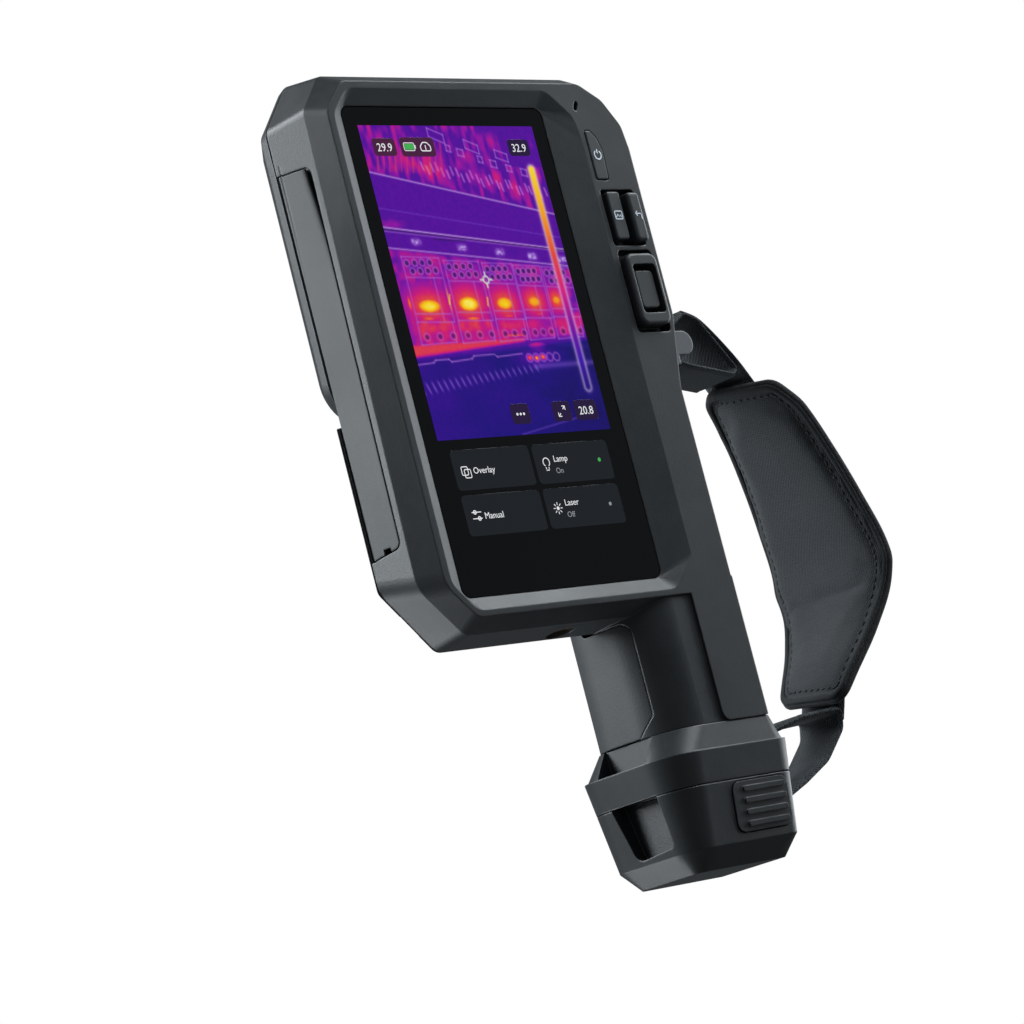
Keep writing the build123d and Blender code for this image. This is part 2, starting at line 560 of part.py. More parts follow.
with BuildPart() as trigger_pin:
    with BuildSketch(Plane.YZ.offset(trigger_x - trigger_w / 2 - 2.4)):
        with Locations((trigger_pin_y, trigger_pin_z)):
            Circle(trigger_pin_r)
    extrude(amount=trigger_w + 4.8)
finish(trigger_pin, "trigger_pin")

with BuildPart() as trigger_switch:
    slab((trigger_x - 5, trigger_x + 5), (3.0, 8.2), (108.0, 116.0))
    slab((trigger_x - 1.5, trigger_x + 1.5), (8.2, 8.8), (111.0, 113.0))
finish(trigger_switch, "trigger_switch")

# ---- collar with strap bridges --------------------------------------------------------------
with BuildPart() as handle_collar:
    upright(rectangle_points(foot_x, foot_y), foot_radii, (collar_top_z, collar_foot_z), taper=foot_draft)
    with BuildSketch(Plane.XY.offset(collar_top_z)):
        with BuildLine():
            FilletPolyline(*rectangle_points((-25.2, 26.2), (-20.5, 20.5)),
                           radius=[11.4, 7.8, 7.8, 11.4], close=True)
        make_face()
    with BuildSketch(Plane.XY.offset(grip_foot_z - 0.1)):
        with BuildLine():
            FilletPolyline(*rectangle_points((-20.4, 22.4), (-18.6, 19.4)),
                           radius=[14, 3.4, 14, 14], close=True)
        make_face()
    loft(ruled=True)
    upright(rectangle_points(well_x, well_y), well_radii, (collar_foot_z - 1, grip_foot_z + 1),
            mode=Mode.SUBTRACT)
    for x in (left_slot_x, right_slot_x):
        slab(x, slot_y, (collar_foot_z - 1, grip_foot_z + 1), mode=Mode.SUBTRACT)
    slab((-27, left_slot_x[1]), slot_y, (collar_top_z, grip_foot_z + 1), mode=Mode.SUBTRACT)
    slab((right_slot_x[0], 28), slot_y, (collar_top_z, grip_foot_z + 1), mode=Mode.SUBTRACT)
finish(handle_collar, "handle_collar")

# ---- battery --------------------------------------------------------------------------------
stick_x, stick_y = (-17.5, 19.5), (-15.5, 16.5)
stick_radii = [11.5, 3.7, 11.5, 11.5]
cell_r, cell_places = 9.2, [(-7.0, 6.0), (9.0, -5.0)]
foot_chamfer_z = 6.0
latch_x, latch_z = 7.6, 15.6


def foot_solid():
    """The battery foot: drafted sides and a chamfer round the underside."""
    drop = collar_top_z - foot_top_z
    t = drop * foot_slope
    upright(rectangle_points((foot_x[0] + t, foot_x[1] - t), (foot_y[0] + t, foot_y[1] - t)),
            [r - t for r in foot_radii], (foot_top_z, foot_chamfer_z), taper=foot_draft)
    low = (collar_top_z - foot_chamfer_z) * foot_slope
    upright(rectangle_points((foot_x[0] + low, foot_x[1] - low), (foot_y[0] + low, foot_y[1] - low)),
            [r - low for r in foot_radii], (foot_chamfer_z, 0), taper=40)


latch_y = foot_y[0] + foot_slope * (collar_top_z - latch_z)
latch_face = Plane(origin=(latch_x, latch_y, latch_z), x_dir=(1, 0, 0),
                   z_dir=Vector(0, -1, 0).rotate(Axis.X, foot_draft))

with BuildPart() as battery_case:
    foot_solid()
    upright(rectangle_points(stick_x, stick_y), stick_radii, (foot_top_z - 1, stick_top_z))
    for x, y in cell_places:
        with BuildSketch(Plane.XY.offset(3.0)):
            with Locations((x, y)):
                Circle(cell_r + 0.1)
        extrude(amount=stick_top_z - 3.0 - 1.4, mode=Mode.SUBTRACT)
    # finger recess under the left strap slot, strap pocket under the right one
    finger = [(-10.4, foot_top_z + 1), (8.0, foot_top_z + 1), (4.4, 7.4), (-10.6, 8.6)]
    pocket = [(-10.4, foot_top_z + 1), (10.4, foot_top_z + 1), (9.8, 9.0), (-9.8, 9.0)]
    for points, x in ((finger, (-30.0, left_slot_x[1])), (pocket, (right_slot_x[0], 30.0))):
        extrude(outline(Plane.YZ.offset(x[0]), points, [0.5, 0.5, 3, 1.5]), amount=x[1] - x[0],
                mode=Mode.SUBTRACT)
    # seat of the latch button
    with BuildSketch(latch_face.offset(2)):
        RectangleRounded(23.6, 14.9, 3.2)
    extrude(amount=-5.2, mode=Mode.SUBTRACT)
finish(battery_case, "battery_case")

with BuildPart() as battery_latch:
    with BuildSketch(latch_face.offset(-1.4)):
        RectangleRounded(23.0, 14.3, 2.9)
    extrude(amount=1.9)
    with BuildSketch(latch_face.offset(0.5)):
        for row in range(4):
            with Locations((1.2, 4.9 - 3.3 * row)):
                SlotOverall(17.5, 1.5)
    extrude(amount=0.7)
finish(battery_latch, "battery_latch")

with BuildPart() as latch_spring:
    for x in (-6.0, 6.0):
        with BuildSketch(latch_face.offset(-3.1)):
            with Locations((x, 0)):
                Rectangle(4.0, 8.0)
        extrude(amount=0.3)
finish(latch_spring, "latch_spring")

with BuildPart() as battery_cells:
    for x, y in cell_places:
        with BuildSketch(Plane.XY.offset(3.4)):
            with Locations((x, y)):
                Circle(cell_r)
        extrude(amount=65.0)
finish(battery_cells, "battery_cells")

with BuildPart() as battery_contacts:
    for x in (-9.0, -4.0, 1.0, 6.0, 11.0):
        slab((x - 1, x + 1), (9.0, 13.0), (stick_top_z, stick_top_z + 0.3))
finish(battery_contacts, "battery_contacts")

with BuildPart() as contact_block:
    slab((-13, 15), (7.5, 14.5), (stick_top_z + 0.9, stick_top_z + 1.7))
finish(contact_block, "contact_block")

with BuildPart() as battery_seal:
    grown = rectangle_points((stick_x[0] - 1.2, stick_x[1] + 1.2), (stick_y[0] - 1.2, stick_y[1] + 1.2))
    upright(grown, [r + 1.2 for r in stick_radii], (foot_top_z, foot_top_z + 0.2))
    close = rectangle_points((stick_x[0] - 0.02, stick_x[1] + 0.02), (stick_y[0] - 0.02, stick_y[1] + 0.02))
    upright(close, stick_radii, (foot_top_z - 1, foot_top_z + 1), mode=Mode.SUBTRACT)
finish(battery_seal, "battery_seal")

# ---- strap ----------------------------------------------------------------------------------
bar_x, bar_z, bar_r = 33.0, 154.0, 2.0


def strap_loop(points, radii):
    """A closed loop of flat webbing, drawn in the XZ plane and as wide as the strap."""
    band = outline(facing(-strap_w / 2), points, radii)
    extrude(band, amount=-strap_w)
    extrude(offset(band, amount=-strap_t, mode=Mode.PRIVATE), amount=-strap_w, mode=Mode.SUBTRACT)


with BuildPart() as strap_lug:
    slab((24.1, 29.5), lug_y, lug_z)
    for y in ((lug_y[0], lug_y[0] + 3.4), (lug_y[1] - 3.4, lug_y[1])):
        slab((29.5, bar_x), y, (bar_z - 3.6, bar_z + 3.6))
        with BuildSketch(facing(y[0])):
            with Locations((bar_x, bar_z)):
                Circle(3.6)
        extrude(amount=y[0] - y[1])
    disc(bar_x, bar_z, bar_r, lug_y)
    slab((28.0, 29.6), (-9.5, 9.5), (lug_z[0] - 1, lug_z[1] + 1), mode=Mode.SUBTRACT)
finish(strap_lug, "strap_lug")

with BuildPart() as strap_upper:
    strap_loop(strap_upper_line, strap_upper_radii)
finish(strap_upper, "strap_upper")

with BuildPart() as strap_lower:
    strap_loop(strap_lower_line, strap_lower_radii)
finish(strap_lower, "strap_lower")


def pad_line(side):
    """The pad's middle line moved sideways by half its thickness."""
    return [(x + side * pad_t / 2, z) for x, z in pad_middle]


with BuildPart() as strap_pad:
    inner, outer = pad_line(-1), pad_line(1)
    with BuildSketch(facing(-30.0)):
        with BuildLine():
            Spline(*inner)
            Line(inner[-1], outer[-1])
            Spline(*reversed(outer))
            Line(outer[0], inner[0])
        make_face()
    extrude(amount=-52.0)
    extrude(outline(Plane.YZ.offset(40.0), pad_outline, pad_radii), amount=50, mode=Mode.INTERSECT)
finish(strap_pad, "strap_pad")

# ---- fasteners, insert, speaker, seals ------------------------------------------------------
with BuildPart() as tripod_insert:
    with BuildSketch(Plane.XY.offset(75.2)):
        with Locations((tripod_x, tripod_y)):
            Circle(4.25)
            Circle(tripod_r, mode=Mode.SUBTRACT)
    extrude(amount=9.0)
finish(tripod_insert, "tripod_insert")

with BuildPart() as cover_screws:
    for x, z in screw_heads:
        disc(x, z, 2.3, (4.4, 6.0))
        disc(x, z, 1.2, (-4.0, 4.4))
finish(cover_screws, "cover_screws")

with BuildPart() as nose_screws:
    for x, z in nose_heads:
        disc(x, z, 2.3, (7.0, 8.8))
        disc(x, z, 1.2, (-4.0, 7.0))
finish(nose_screws, "nose_screws")

with BuildPart() as speaker:
    screen_plate(-70.0, 100.0, 20.0, 11.0, (-3.0, 1.4), 2.0)
finish(speaker, "speaker")
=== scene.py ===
import math
import bmesh
import bpy
import numpy as np
from mathutils import Matrix, Vector
from mathutils.bvhtree import BVHTree


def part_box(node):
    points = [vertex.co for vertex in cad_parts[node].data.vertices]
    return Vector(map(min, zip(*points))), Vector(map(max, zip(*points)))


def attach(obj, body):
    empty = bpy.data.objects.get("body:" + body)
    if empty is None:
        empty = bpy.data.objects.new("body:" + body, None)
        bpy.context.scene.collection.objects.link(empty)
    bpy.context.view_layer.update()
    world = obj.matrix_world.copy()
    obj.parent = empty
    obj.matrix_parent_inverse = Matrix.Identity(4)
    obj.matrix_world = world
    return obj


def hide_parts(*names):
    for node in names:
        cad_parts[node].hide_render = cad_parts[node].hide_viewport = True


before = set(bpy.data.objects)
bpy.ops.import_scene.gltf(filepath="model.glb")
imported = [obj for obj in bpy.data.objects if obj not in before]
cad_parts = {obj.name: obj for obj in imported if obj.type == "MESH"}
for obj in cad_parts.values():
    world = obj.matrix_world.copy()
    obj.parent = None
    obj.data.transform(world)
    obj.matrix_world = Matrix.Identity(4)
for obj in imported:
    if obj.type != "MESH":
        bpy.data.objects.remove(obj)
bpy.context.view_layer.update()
mm = 0.001
print("frame loaded:", len(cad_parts), "nodes")


shot = {
    "aim": (-44.92, -3.25, 109.89),   # mm, in the object's own frame
    "distance": 1121.4,
    "heading": 45.73,                 # degrees round from the screen's front, towards its left side
    "rise": 9.19,                     # how far the camera looks up
    "lean": -14.39,
    "lens": 140.77,
}


def placeCamera(look):
    # the view's direction from its heading and rise, then the picture's side and top turned round it by the lean
    heading, rise, lean = (math.radians(look[k]) for k in ("heading", "rise", "lean"))
    ahead = math.cos(rise)
    forward = Vector((math.sin(heading) * ahead, math.cos(heading) * ahead, math.sin(rise)))
    level = forward.cross(Vector((0, 0, 1))).normalized()
    upright = level.cross(forward)
    side = level * math.cos(lean) + upright * math.sin(lean)
    top = upright * math.cos(lean) - level * math.sin(lean)
    camera = bpy.data.objects.new("camera", bpy.data.cameras.new("camera"))
    camera.data.lens = look["lens"]
    place = Vector(look["aim"]) * mm - forward * look["distance"] * mm
    turn = Matrix((side, top, -forward)).transposed().to_4x4()
    camera.matrix_world = Matrix.Translation(place) @ turn
    bpy.context.scene.collection.objects.link(camera)
    bpy.context.scene.camera = camera
    return side, top, forward


shotSide, shotTop, shotForward = placeCamera(shot)

# each lamp: its direction from the object (right, up, towards the camera), distance m, size m, watts
studio = {
    "rightSoftbox": ((0.9, 1.3, 0.30), 0.5, (0.2, 0.2), 1.2),
    "leftSoftbox": ((-1.0, 0.28, -0.02), 1.2, (0.5, 1.1), 24.0),
    "topSoftbox": ((0.45, 0.9, -0.35), 1.3, (0.8, 0.6), 12.0),
    "lowFill": ((-0.6, -1.0, -0.1), 1.4, (0.8, 0.6), 8.0),
    "backLight": ((0.9, 0.3, -1.0), 1.5, (1.4, 1.0), 15.0),
}
studioMiddle = Vector((-0.02, 0.0, 0.13))
lampColour = (0.90, 0.96, 1.0)
unreflectedLamp = "rightSoftbox"          # kept out of the glass
worldLight = {"brightness": 0.11, "light": (0.88, 0.95, 1), "backdrop": (1, 1, 1)}


def placeLamps(lamps, middle):
    for name, (way, distance, size, watts) in lamps.items():
        outward = (shotSide * way[0] + shotTop * way[1] - shotForward * way[2]).normalized()
        data = bpy.data.lights.new(name, "AREA")
        data.shape = "RECTANGLE"
        data.size, data.size_y = size
        data.energy = watts
        data.color = lampColour
        lamp = bpy.data.objects.new(name, data)
        turn = outward.to_track_quat("Z", "Y").to_matrix().to_4x4()
        lamp.matrix_world = Matrix.Translation(middle + outward * distance) @ turn
        lamp.visible_glossy = name != unreflectedLamp
        bpy.context.scene.collection.objects.link(lamp)


placeLamps(studio, studioMiddle)
bpy.context.scene.view_settings.view_transform = "Standard"


def feed(tree, socket, value):
    # another node's socket is linked, and a plain value is set
    if isinstance(value, bpy.types.NodeSocket):
        tree.links.new(value, socket)
    else:
        socket.default_value = value


def addNode(tree, kind, sockets=None, **settings):
    node = tree.nodes.new(kind)
    for key, value in settings.items():
        setattr(node, key, value)
    for key, value in (sockets or {}).items():
        feed(tree, node.inputs[key], value)
    return node


def maths(tree, operation, a, b=0.0):
    return addNode(tree, "ShaderNodeMath", {0: a, 1: b}, operation=operation).outputs[0]


def blendColour(tree, share, a, b):
    # the mix node's colours are its inputs 6 and 7 and its output 2
    return addNode(tree, "ShaderNodeMix", {0: share, 6: a, 7: b}, data_type="RGBA").outputs[2]


def ramp(tree, value, low, high, toLow=0.0, toHigh=1.0):
    # the value's place between low and high, put between toLow and toHigh
    return addNode(tree, "ShaderNodeMapRange", {"Value": value, "From Min": low, "From Max": high,
                                                "To Min": toLow, "To Max": toHigh}).outputs[0]


def studioWorld(brightness, light, backdrop):
    # a plain backdrop for the camera and a dimmer, even light for everything else
    world = bpy.data.worlds.new("studio")
    world.use_nodes = True
    tree = world.node_tree
    tree.nodes.clear()
    seen = addNode(tree, "ShaderNodeBackground", {"Color": (*backdrop, 1), "Strength": 1.0}).outputs[0]
    lit = addNode(tree, "ShaderNodeBackground", {"Color": (*light, 1), "Strength": brightness}).outputs[0]
    path = addNode(tree, "ShaderNodeLightPath")
    mix = addNode(tree, "ShaderNodeMixShader", {0: path.outputs["Is Camera Ray"], 1: lit, 2: seen})
    addNode(tree, "ShaderNodeOutputWorld", {"Surface": mix.outputs[0]})
    bpy.context.scene.world = world


studioWorld(**worldLight)

floorLook = {
    "halfWidth": 12.0, "below": 0.2,                  # metres, and mm under the foot
    "light": (0.82, 0.82, 0.82, 1), "shade": (0.78, 0.78, 0.78, 1), "lit": (0.22, 0.22, 0.22, 1),
}


def paleFloor(look):
    # one flat sheet just under the foot; only the camera sees it, and only from above, so it throws no shade upwards
    mesh = bpy.data.meshes.new("floor")
    w, z = look["halfWidth"], -look["below"] * mm
    mesh.from_pydata([(-w, -w, z), (w, -w, z), (w, w, z), (-w, w, z)], [], [(0, 1, 2, 3)])
    floor = bpy.data.objects.new("floor", mesh)
    bpy.context.scene.collection.objects.link(floor)
    material = bpy.data.materials.new("palePaper")
    material.use_nodes = True
    tree = material.node_tree
    tree.nodes.clear()
    place = addNode(tree, "ShaderNodeTexCoord")
    grain = addNode(tree, "ShaderNodeTexNoise", {"Vector": place.outputs["Object"], "Scale": 3.0, "Detail": 3.0})
    tone = blendColour(tree, grain.outputs[0], look["shade"], look["light"])
    paper = addNode(tree, "ShaderNodeBsdfPrincipled", {"Base Color": look["lit"], "Roughness": 0.8,
                                                       "Emission Color": tone, "Emission Strength": 1.0})
    clear = addNode(tree, "ShaderNodeBsdfTransparent")
    side = addNode(tree, "ShaderNodeNewGeometry")
    path = addNode(tree, "ShaderNodeLightPath")
    otherRay = maths(tree, "SUBTRACT", 1.0, path.outputs["Is Camera Ray"])
    unseen = maths(tree, "MAXIMUM", side.outputs["Backfacing"], otherRay)
    mix = addNode(tree, "ShaderNodeMixShader", {0: unseen, 1: paper.outputs[0], 2: clear.outputs[0]})
    addNode(tree, "ShaderNodeOutputMaterial", {"Surface": mix.outputs[0]})
    mesh.materials.append(material)


paleFloor(floorLook)
print("studio ready")


def startGroup(name, inputs, outputs):
    tree = bpy.data.node_groups.new(name, "ShaderNodeTree")
    for label, kind, value in inputs:
        socket = tree.interface.new_socket(label, in_out="INPUT", socket_type=kind)
        if value is not None:
            socket.default_value = value
    for label, kind in outputs:
        tree.interface.new_socket(label, in_out="OUTPUT", socket_type=kind)
    return tree, tree.nodes.new("NodeGroupInput"), tree.nodes.new("NodeGroupOutput")


def makeMouldedGrain():
    # the fine leathery texture etched into a mould: small cells over finer noise, and a slow drift of tone
    tree, given, result = startGroup(
        "mouldedGrain",
        [("Vector", "NodeSocketVector", None), ("Size", "NodeSocketFloat", 0.0005)],
        [("Height", "NodeSocketFloat"), ("Tone", "NodeSocketFloat")])
    scale = maths(tree, "DIVIDE", 1.0, given.outputs["Size"])
    cells = addNode(tree, "ShaderNodeTexVoronoi", {"Vector": given.outputs["Vector"], "Scale": scale},
                    feature="SMOOTH_F1")
    speck = addNode(tree, "ShaderNodeTexNoise", {"Vector": given.outputs["Vector"],
                                                 "Scale": maths(tree, "MULTIPLY", scale, 1.7), "Detail": 2.0})
    slow = addNode(tree, "ShaderNodeTexNoise", {"Vector": given.outputs["Vector"], "Scale": 24.0, "Detail": 4.0})
    height = maths(tree, "ADD", maths(tree, "MULTIPLY", cells.outputs["Distance"], 0.7), speck.outputs[0])
    tree.links.new(height, result.inputs["Height"])
    fine = maths(tree, "MULTIPLY", speck.outputs[0], 0.45)
    tree.links.new(maths(tree, "ADD", fine, maths(tree, "MULTIPLY", slow.outputs[0], 0.55)), result.inputs["Tone"])
    return tree


def makeEdgeWear():
    # where the rounded normal leaves the flat one there is an edge; noise breaks the polish up
    tree, given, result = startGroup(
        "edgeWear",
        [("Vector", "NodeSocketVector", None), ("Radius", "NodeSocketFloat", 0.0006),
         ("Wear", "NodeSocketFloat", 1.0)],
        [("Mask", "NodeSocketFloat"), ("Normal", "NodeSocketVector")])
    soft = addNode(tree, "ShaderNodeBevel", {"Radius": given.outputs["Radius"]}, samples=6)
    flat = addNode(tree, "ShaderNodeNewGeometry")
    same = addNode(tree, "ShaderNodeVectorMath", {0: soft.outputs[0], 1: flat.outputs["Normal"]},
                   operation="DOT_PRODUCT")
    gap = maths(tree, "SUBTRACT", 1.0, same.outputs["Value"])
    patches = addNode(tree, "ShaderNodeTexNoise", {"Vector": given.outputs["Vector"], "Scale": 160.0, "Detail": 3.0})
    mask = maths(tree, "MULTIPLY", ramp(tree, gap, 0.004, 0.11), ramp(tree, patches.outputs[0], 0.25, 0.65))
    tree.links.new(maths(tree, "MULTIPLY", mask, given.outputs["Wear"]), result.inputs["Mask"])
    tree.links.new(soft.outputs[0], result.inputs["Normal"])
    return tree


def makeDust():
    # thin dust in uneven patches, thicker on faces that look up
    tree, given, result = startGroup(
        "dust",
        [("Vector", "NodeSocketVector", None), ("Amount", "NodeSocketFloat", 0.1)],
        [("Mask", "NodeSocketFloat")])
    facing = addNode(tree, "ShaderNodeNewGeometry")
    up = addNode(tree, "ShaderNodeSeparateXYZ", {0: facing.outputs["Normal"]})
    patches = addNode(tree, "ShaderNodeTexNoise", {"Vector": given.outputs["Vector"], "Scale": 55.0, "Detail": 6.0,
                                                   "Roughness": 0.7})
    lying = ramp(tree, up.outputs["Z"], -0.6, 1.0)
    mask = maths(tree, "MULTIPLY", lying, ramp(tree, patches.outputs[0], 0.42, 0.75))
    tree.links.new(maths(tree, "MULTIPLY", mask, given.outputs["Amount"]), result.inputs["Mask"])
    return tree


def makeWeave():
    # two crossed sets of threads: the height is the larger of two sine ridges, each leaning with the other's rows
    tree, given, result = startGroup(
        "weave",
        [("Vector", "NodeSocketVector", None), ("Across", "NodeSocketFloat", 2500.0),
         ("Along", "NodeSocketFloat", 2500.0)],
        [("Height", "NodeSocketFloat"), ("Tone", "NodeSocketFloat")])
    parts = addNode(tree, "ShaderNodeSeparateXYZ", {0: given.outputs["Vector"]})
    x = maths(tree, "MULTIPLY", parts.outputs["X"], given.outputs["Across"])
    y = maths(tree, "MULTIPLY", parts.outputs["Y"], given.outputs["Along"])
    warp = maths(tree, "SINE", maths(tree, "ADD", x, maths(tree, "MULTIPLY", y, 0.5)))
    weft = maths(tree, "SINE", maths(tree, "SUBTRACT", y, maths(tree, "MULTIPLY", x, 0.5)))
    fuzz = addNode(tree, "ShaderNodeTexNoise", {"Vector": given.outputs["Vector"], "Scale": 1900.0, "Detail": 2.0})
    ridge = maths(tree, "MAXIMUM", warp, weft)
    tree.links.new(maths(tree, "ADD", ridge, fuzz.outputs[0]), result.inputs["Height"])
    tree.links.new(maths(tree, "MULTIPLY", ramp(tree, ridge, -1.0, 1.0), fuzz.outputs[0]), result.inputs["Tone"])
    return tree


def makeTurning():
    # fine concentric tool marks round an axis along Y through the vector's own zero
    tree, given, result = startGroup(
        "turning",
        [("Vector", "NodeSocketVector", None), ("Pitch", "NodeSocketFloat", 0.0003)],
        [("Height", "NodeSocketFloat")])
    flat = addNode(tree, "ShaderNodeVectorMath", {0: given.outputs["Vector"], 1: (1, 0, 1)}, operation="MULTIPLY")
    radius = addNode(tree, "ShaderNodeVectorMath", {0: flat.outputs[0]}, operation="LENGTH")
    wave = maths(tree, "SINE", maths(tree, "DIVIDE", radius.outputs["Value"], given.outputs["Pitch"]))
    tree.links.new(wave, result.inputs["Height"])
    return tree


effects = {"grain": makeMouldedGrain(), "wear": makeEdgeWear(), "dust": makeDust(), "weave": makeWeave(),
           "turning": makeTurning()}
dirt = {"worn": (0.16, 0.165, 0.17, 1), "film": (0.30, 0.29, 0.27, 1), "lint": (0.25, 0.25, 0.24, 1)}


def useEffect(tree, name, **values):
    return addNode(tree, "ShaderNodeGroup", values, node_tree=effects[name]).outputs


def startMaterial(name, **sockets):
    material = bpy.data.materials.new(name)
    material.use_nodes = True
    tree = material.node_tree
    tree.nodes.clear()
    shader = addNode(tree, "ShaderNodeBsdfPrincipled", sockets)
    addNode(tree, "ShaderNodeOutputMaterial", {"Surface": shader.outputs[0]})
    place = addNode(tree, "ShaderNodeTexCoord").outputs["Object"]
    return material, tree, shader, place


def dress(tree, shader, **sockets):
    # links what the nodes work out to the shader: tone, roughness and normal
    labels = {"tone": "Base Color", "roughness": "Roughness", "normal": "Normal", "glow": "Emission Color"}
    for key, value in sockets.items():
        tree.links.new(value, shader.inputs[labels[key]])


def mouldedPlastic(name, dark, light, rough=(0.36, 0.48), grainSize=0.00055, grainDepth=0.00002, edge=0.0006,
                   wear=0.5, dust=0.10):
    # moulded plastic: a grainy tone between dark and light, polished edges, a little dust
    material, tree, shader, place = startMaterial(name, **{"Specular IOR Level": 0.5})
    grain = useEffect(tree, "grain", Vector=place, Size=grainSize)
    edges = useEffect(tree, "wear", Vector=place, Radius=edge, Wear=wear)
    film = useEffect(tree, "dust", Vector=place, Amount=dust)
    tone = blendColour(tree, ramp(tree, grain["Tone"], 0.3, 0.7), (*dark, 1), (*light, 1))
    tone = blendColour(tree, edges["Mask"], tone, dirt["worn"])
    tone = blendColour(tree, film["Mask"], tone, dirt["film"])
    bump = addNode(tree, "ShaderNodeBump", {"Height": grain["Height"], "Distance": grainDepth, "Strength": 1.0,
                                            "Normal": edges["Normal"]})
    dress(tree, shader, tone=tone, roughness=ramp(tree, grain["Tone"], 0.3, 0.7, *rough), normal=bump.outputs[0])
    return material


toolMarks = {"pitch": 0.00012, "depth": 0.000004, "grain": 0.0008, "edge": 0.0003, "wear": 0.7, "darker": 0.72}


def turnedMetal(name, colour, rough, centre=(0, 0, 0)):
    # machined metal with tool marks round an axis along Y; its roughness follows the grain's tone, and a higher
    # rough takes in more of that tone's range
    material, tree, shader, place = startMaterial(name, Metallic=1.0)
    here = addNode(tree, "ShaderNodeVectorMath", {0: place, 1: centre}, operation="SUBTRACT")
    marks = useEffect(tree, "turning", Vector=here.outputs[0], Pitch=toolMarks["pitch"])
    grain = useEffect(tree, "grain", Vector=place, Size=toolMarks["grain"])
    edges = useEffect(tree, "wear", Vector=place, Radius=toolMarks["edge"], Wear=toolMarks["wear"])
    darker = tuple(toolMarks["darker"] * c for c in colour)
    tone = blendColour(tree, grain["Tone"], (*darker, 1), (*colour, 1))
    bump = addNode(tree, "ShaderNodeBump", {"Height": marks["Height"], "Distance": toolMarks["depth"],
                                            "Normal": edges["Normal"]})
    roughness = ramp(tree, grain["Tone"], 1.2 - 2.4 * rough, 1.2 + 1.6 * rough)
    dress(tree, shader, tone=tone, roughness=roughness, normal=bump.outputs[0])
    return material


def gloss(name, colour, rough=0.04, smear=0.05, coat=0.0, **sockets):
    # polished glass, metal or lacquer with faint finger smears in its roughness
    material, tree, shader, place = startMaterial(name, **{"Coat Weight": coat, **sockets})
    smears = addNode(tree, "ShaderNodeTexNoise", {"Vector": place, "Scale": 38.0, "Detail": 4.0,
                                                  "Distortion": 0.8}).outputs[0]
    lighter = tuple(min(1, 1.25 * c + 0.001) for c in colour)
    tone = blendColour(tree, smears, (*colour, 1), (*lighter, 1))
    dress(tree, shader, tone=tone, roughness=ramp(tree, smears, 0.35, 0.75, rough, rough + smear))
    return material


def glowing(name, colour=None, attribute=None, flicker=0.06):
    # lit parts of the display: an even colour or the mesh's own painted colour, seen through the glossy glass
    material, tree, shader, place = startMaterial(name, **{"Roughness": 0.06, "Emission Strength": 1.0,
                                                           "Base Color": (0.004, 0.004, 0.005, 1)})
    cells = addNode(tree, "ShaderNodeTexNoise", {"Vector": place, "Scale": 900.0, "Detail": 1.0})
    if attribute:
        lit = addNode(tree, "ShaderNodeAttribute", attribute_name=attribute).outputs["Color"]
    else:
        lit = (*colour, 1)
    share = maths(tree, "MULTIPLY", cells.outputs[0], flicker)
    dress(tree, shader, glow=blendColour(tree, share, lit, (0, 0, 0, 1)))
    return material


def wovenCloth(name, dark, light, across, along, depth, sheen):
    # woven cloth whose threads follow the mesh's own surface coordinates, stored in metres
    material, tree, shader, place = startMaterial(name, **{"Sheen Weight": sheen, "Sheen Roughness": 0.5,
                                                           "Roughness": 0.85, "Specular IOR Level": 0.25})
    threads = addNode(tree, "ShaderNodeAttribute", attribute_name="threads").outputs["Vector"]
    weave = useEffect(tree, "weave", Vector=threads, Across=across, Along=along)
    film = useEffect(tree, "dust", Vector=place, Amount=0.06)
    slow = addNode(tree, "ShaderNodeTexNoise", {"Vector": place, "Scale": 45.0, "Detail": 3.0})
    tone = blendColour(tree, ramp(tree, weave["Tone"], 0.05, 0.65), (*dark, 1), (*light, 1))
    tone = blendColour(tree, maths(tree, "MULTIPLY", slow.outputs[0], 0.35), tone, (*dark, 1))
    tone = blendColour(tree, film["Mask"], tone, dirt["lint"])
    bump = addNode(tree, "ShaderNodeBump", {"Height": weave["Height"], "Distance": depth})
    dress(tree, shader, tone=tone, normal=bump.outputs[0])
    return material


# the two tones of each prism ring are painted light: shade at its foot, a highlight at its crest
optic = {"dieSize": 0.0014, "pitch": 0.0011, "depth": 0.00025, "shadedValley": (0.10, 0.10, 0.095, 1),
         "ridge": (0.46, 0.46, 0.44, 1), "die": (0.74, 0.56, 0.10, 1)}


def ringedOptic(name, centres):
    # a clear moulded optic: concentric prisms round each lamp's axis, coloured from painted shade to a painted
    # highlight across each ring, and a phosphor-yellow die seen in the middle
    material, tree, shader, place = startMaterial(name, **{"Roughness": 0.14, "Coat Weight": 0.5})
    nearest = None
    for centre in centres:
        offset = addNode(tree, "ShaderNodeVectorMath", {0: place, 1: centre}, operation="SUBTRACT")
        flat = addNode(tree, "ShaderNodeVectorMath", {0: offset.outputs[0], 1: (1, 0, 1)}, operation="MULTIPLY")
        away = addNode(tree, "ShaderNodeVectorMath", {0: flat.outputs[0]}, operation="LENGTH").outputs["Value"]
        nearest = away if nearest is None else maths(tree, "MINIMUM", nearest, away)
    saw = maths(tree, "FRACT", maths(tree, "DIVIDE", nearest, optic["pitch"]))
    # colour runs from painted shade to a painted highlight across each ring
    tone = blendColour(tree, saw, optic["shadedValley"], optic["ridge"])
    die = ramp(tree, nearest, optic["dieSize"] * 1.15, optic["dieSize"] * 0.9)
    bump = addNode(tree, "ShaderNodeBump", {"Height": saw, "Distance": optic["depth"]})
    dress(tree, shader, tone=blendColour(tree, die, tone, optic["die"]), normal=bump.outputs[0])
    return material


def lampAxes():
    # the two lamps sit at the ends of their node's box
    low, high = (np.array(corner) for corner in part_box("lamp_lenses"))
    x, radius = (low[0] + high[0]) / 2, (high[0] - low[0]) / 2
    return [(x, 0, low[2] + radius), (x, 0, high[2] - radius)]


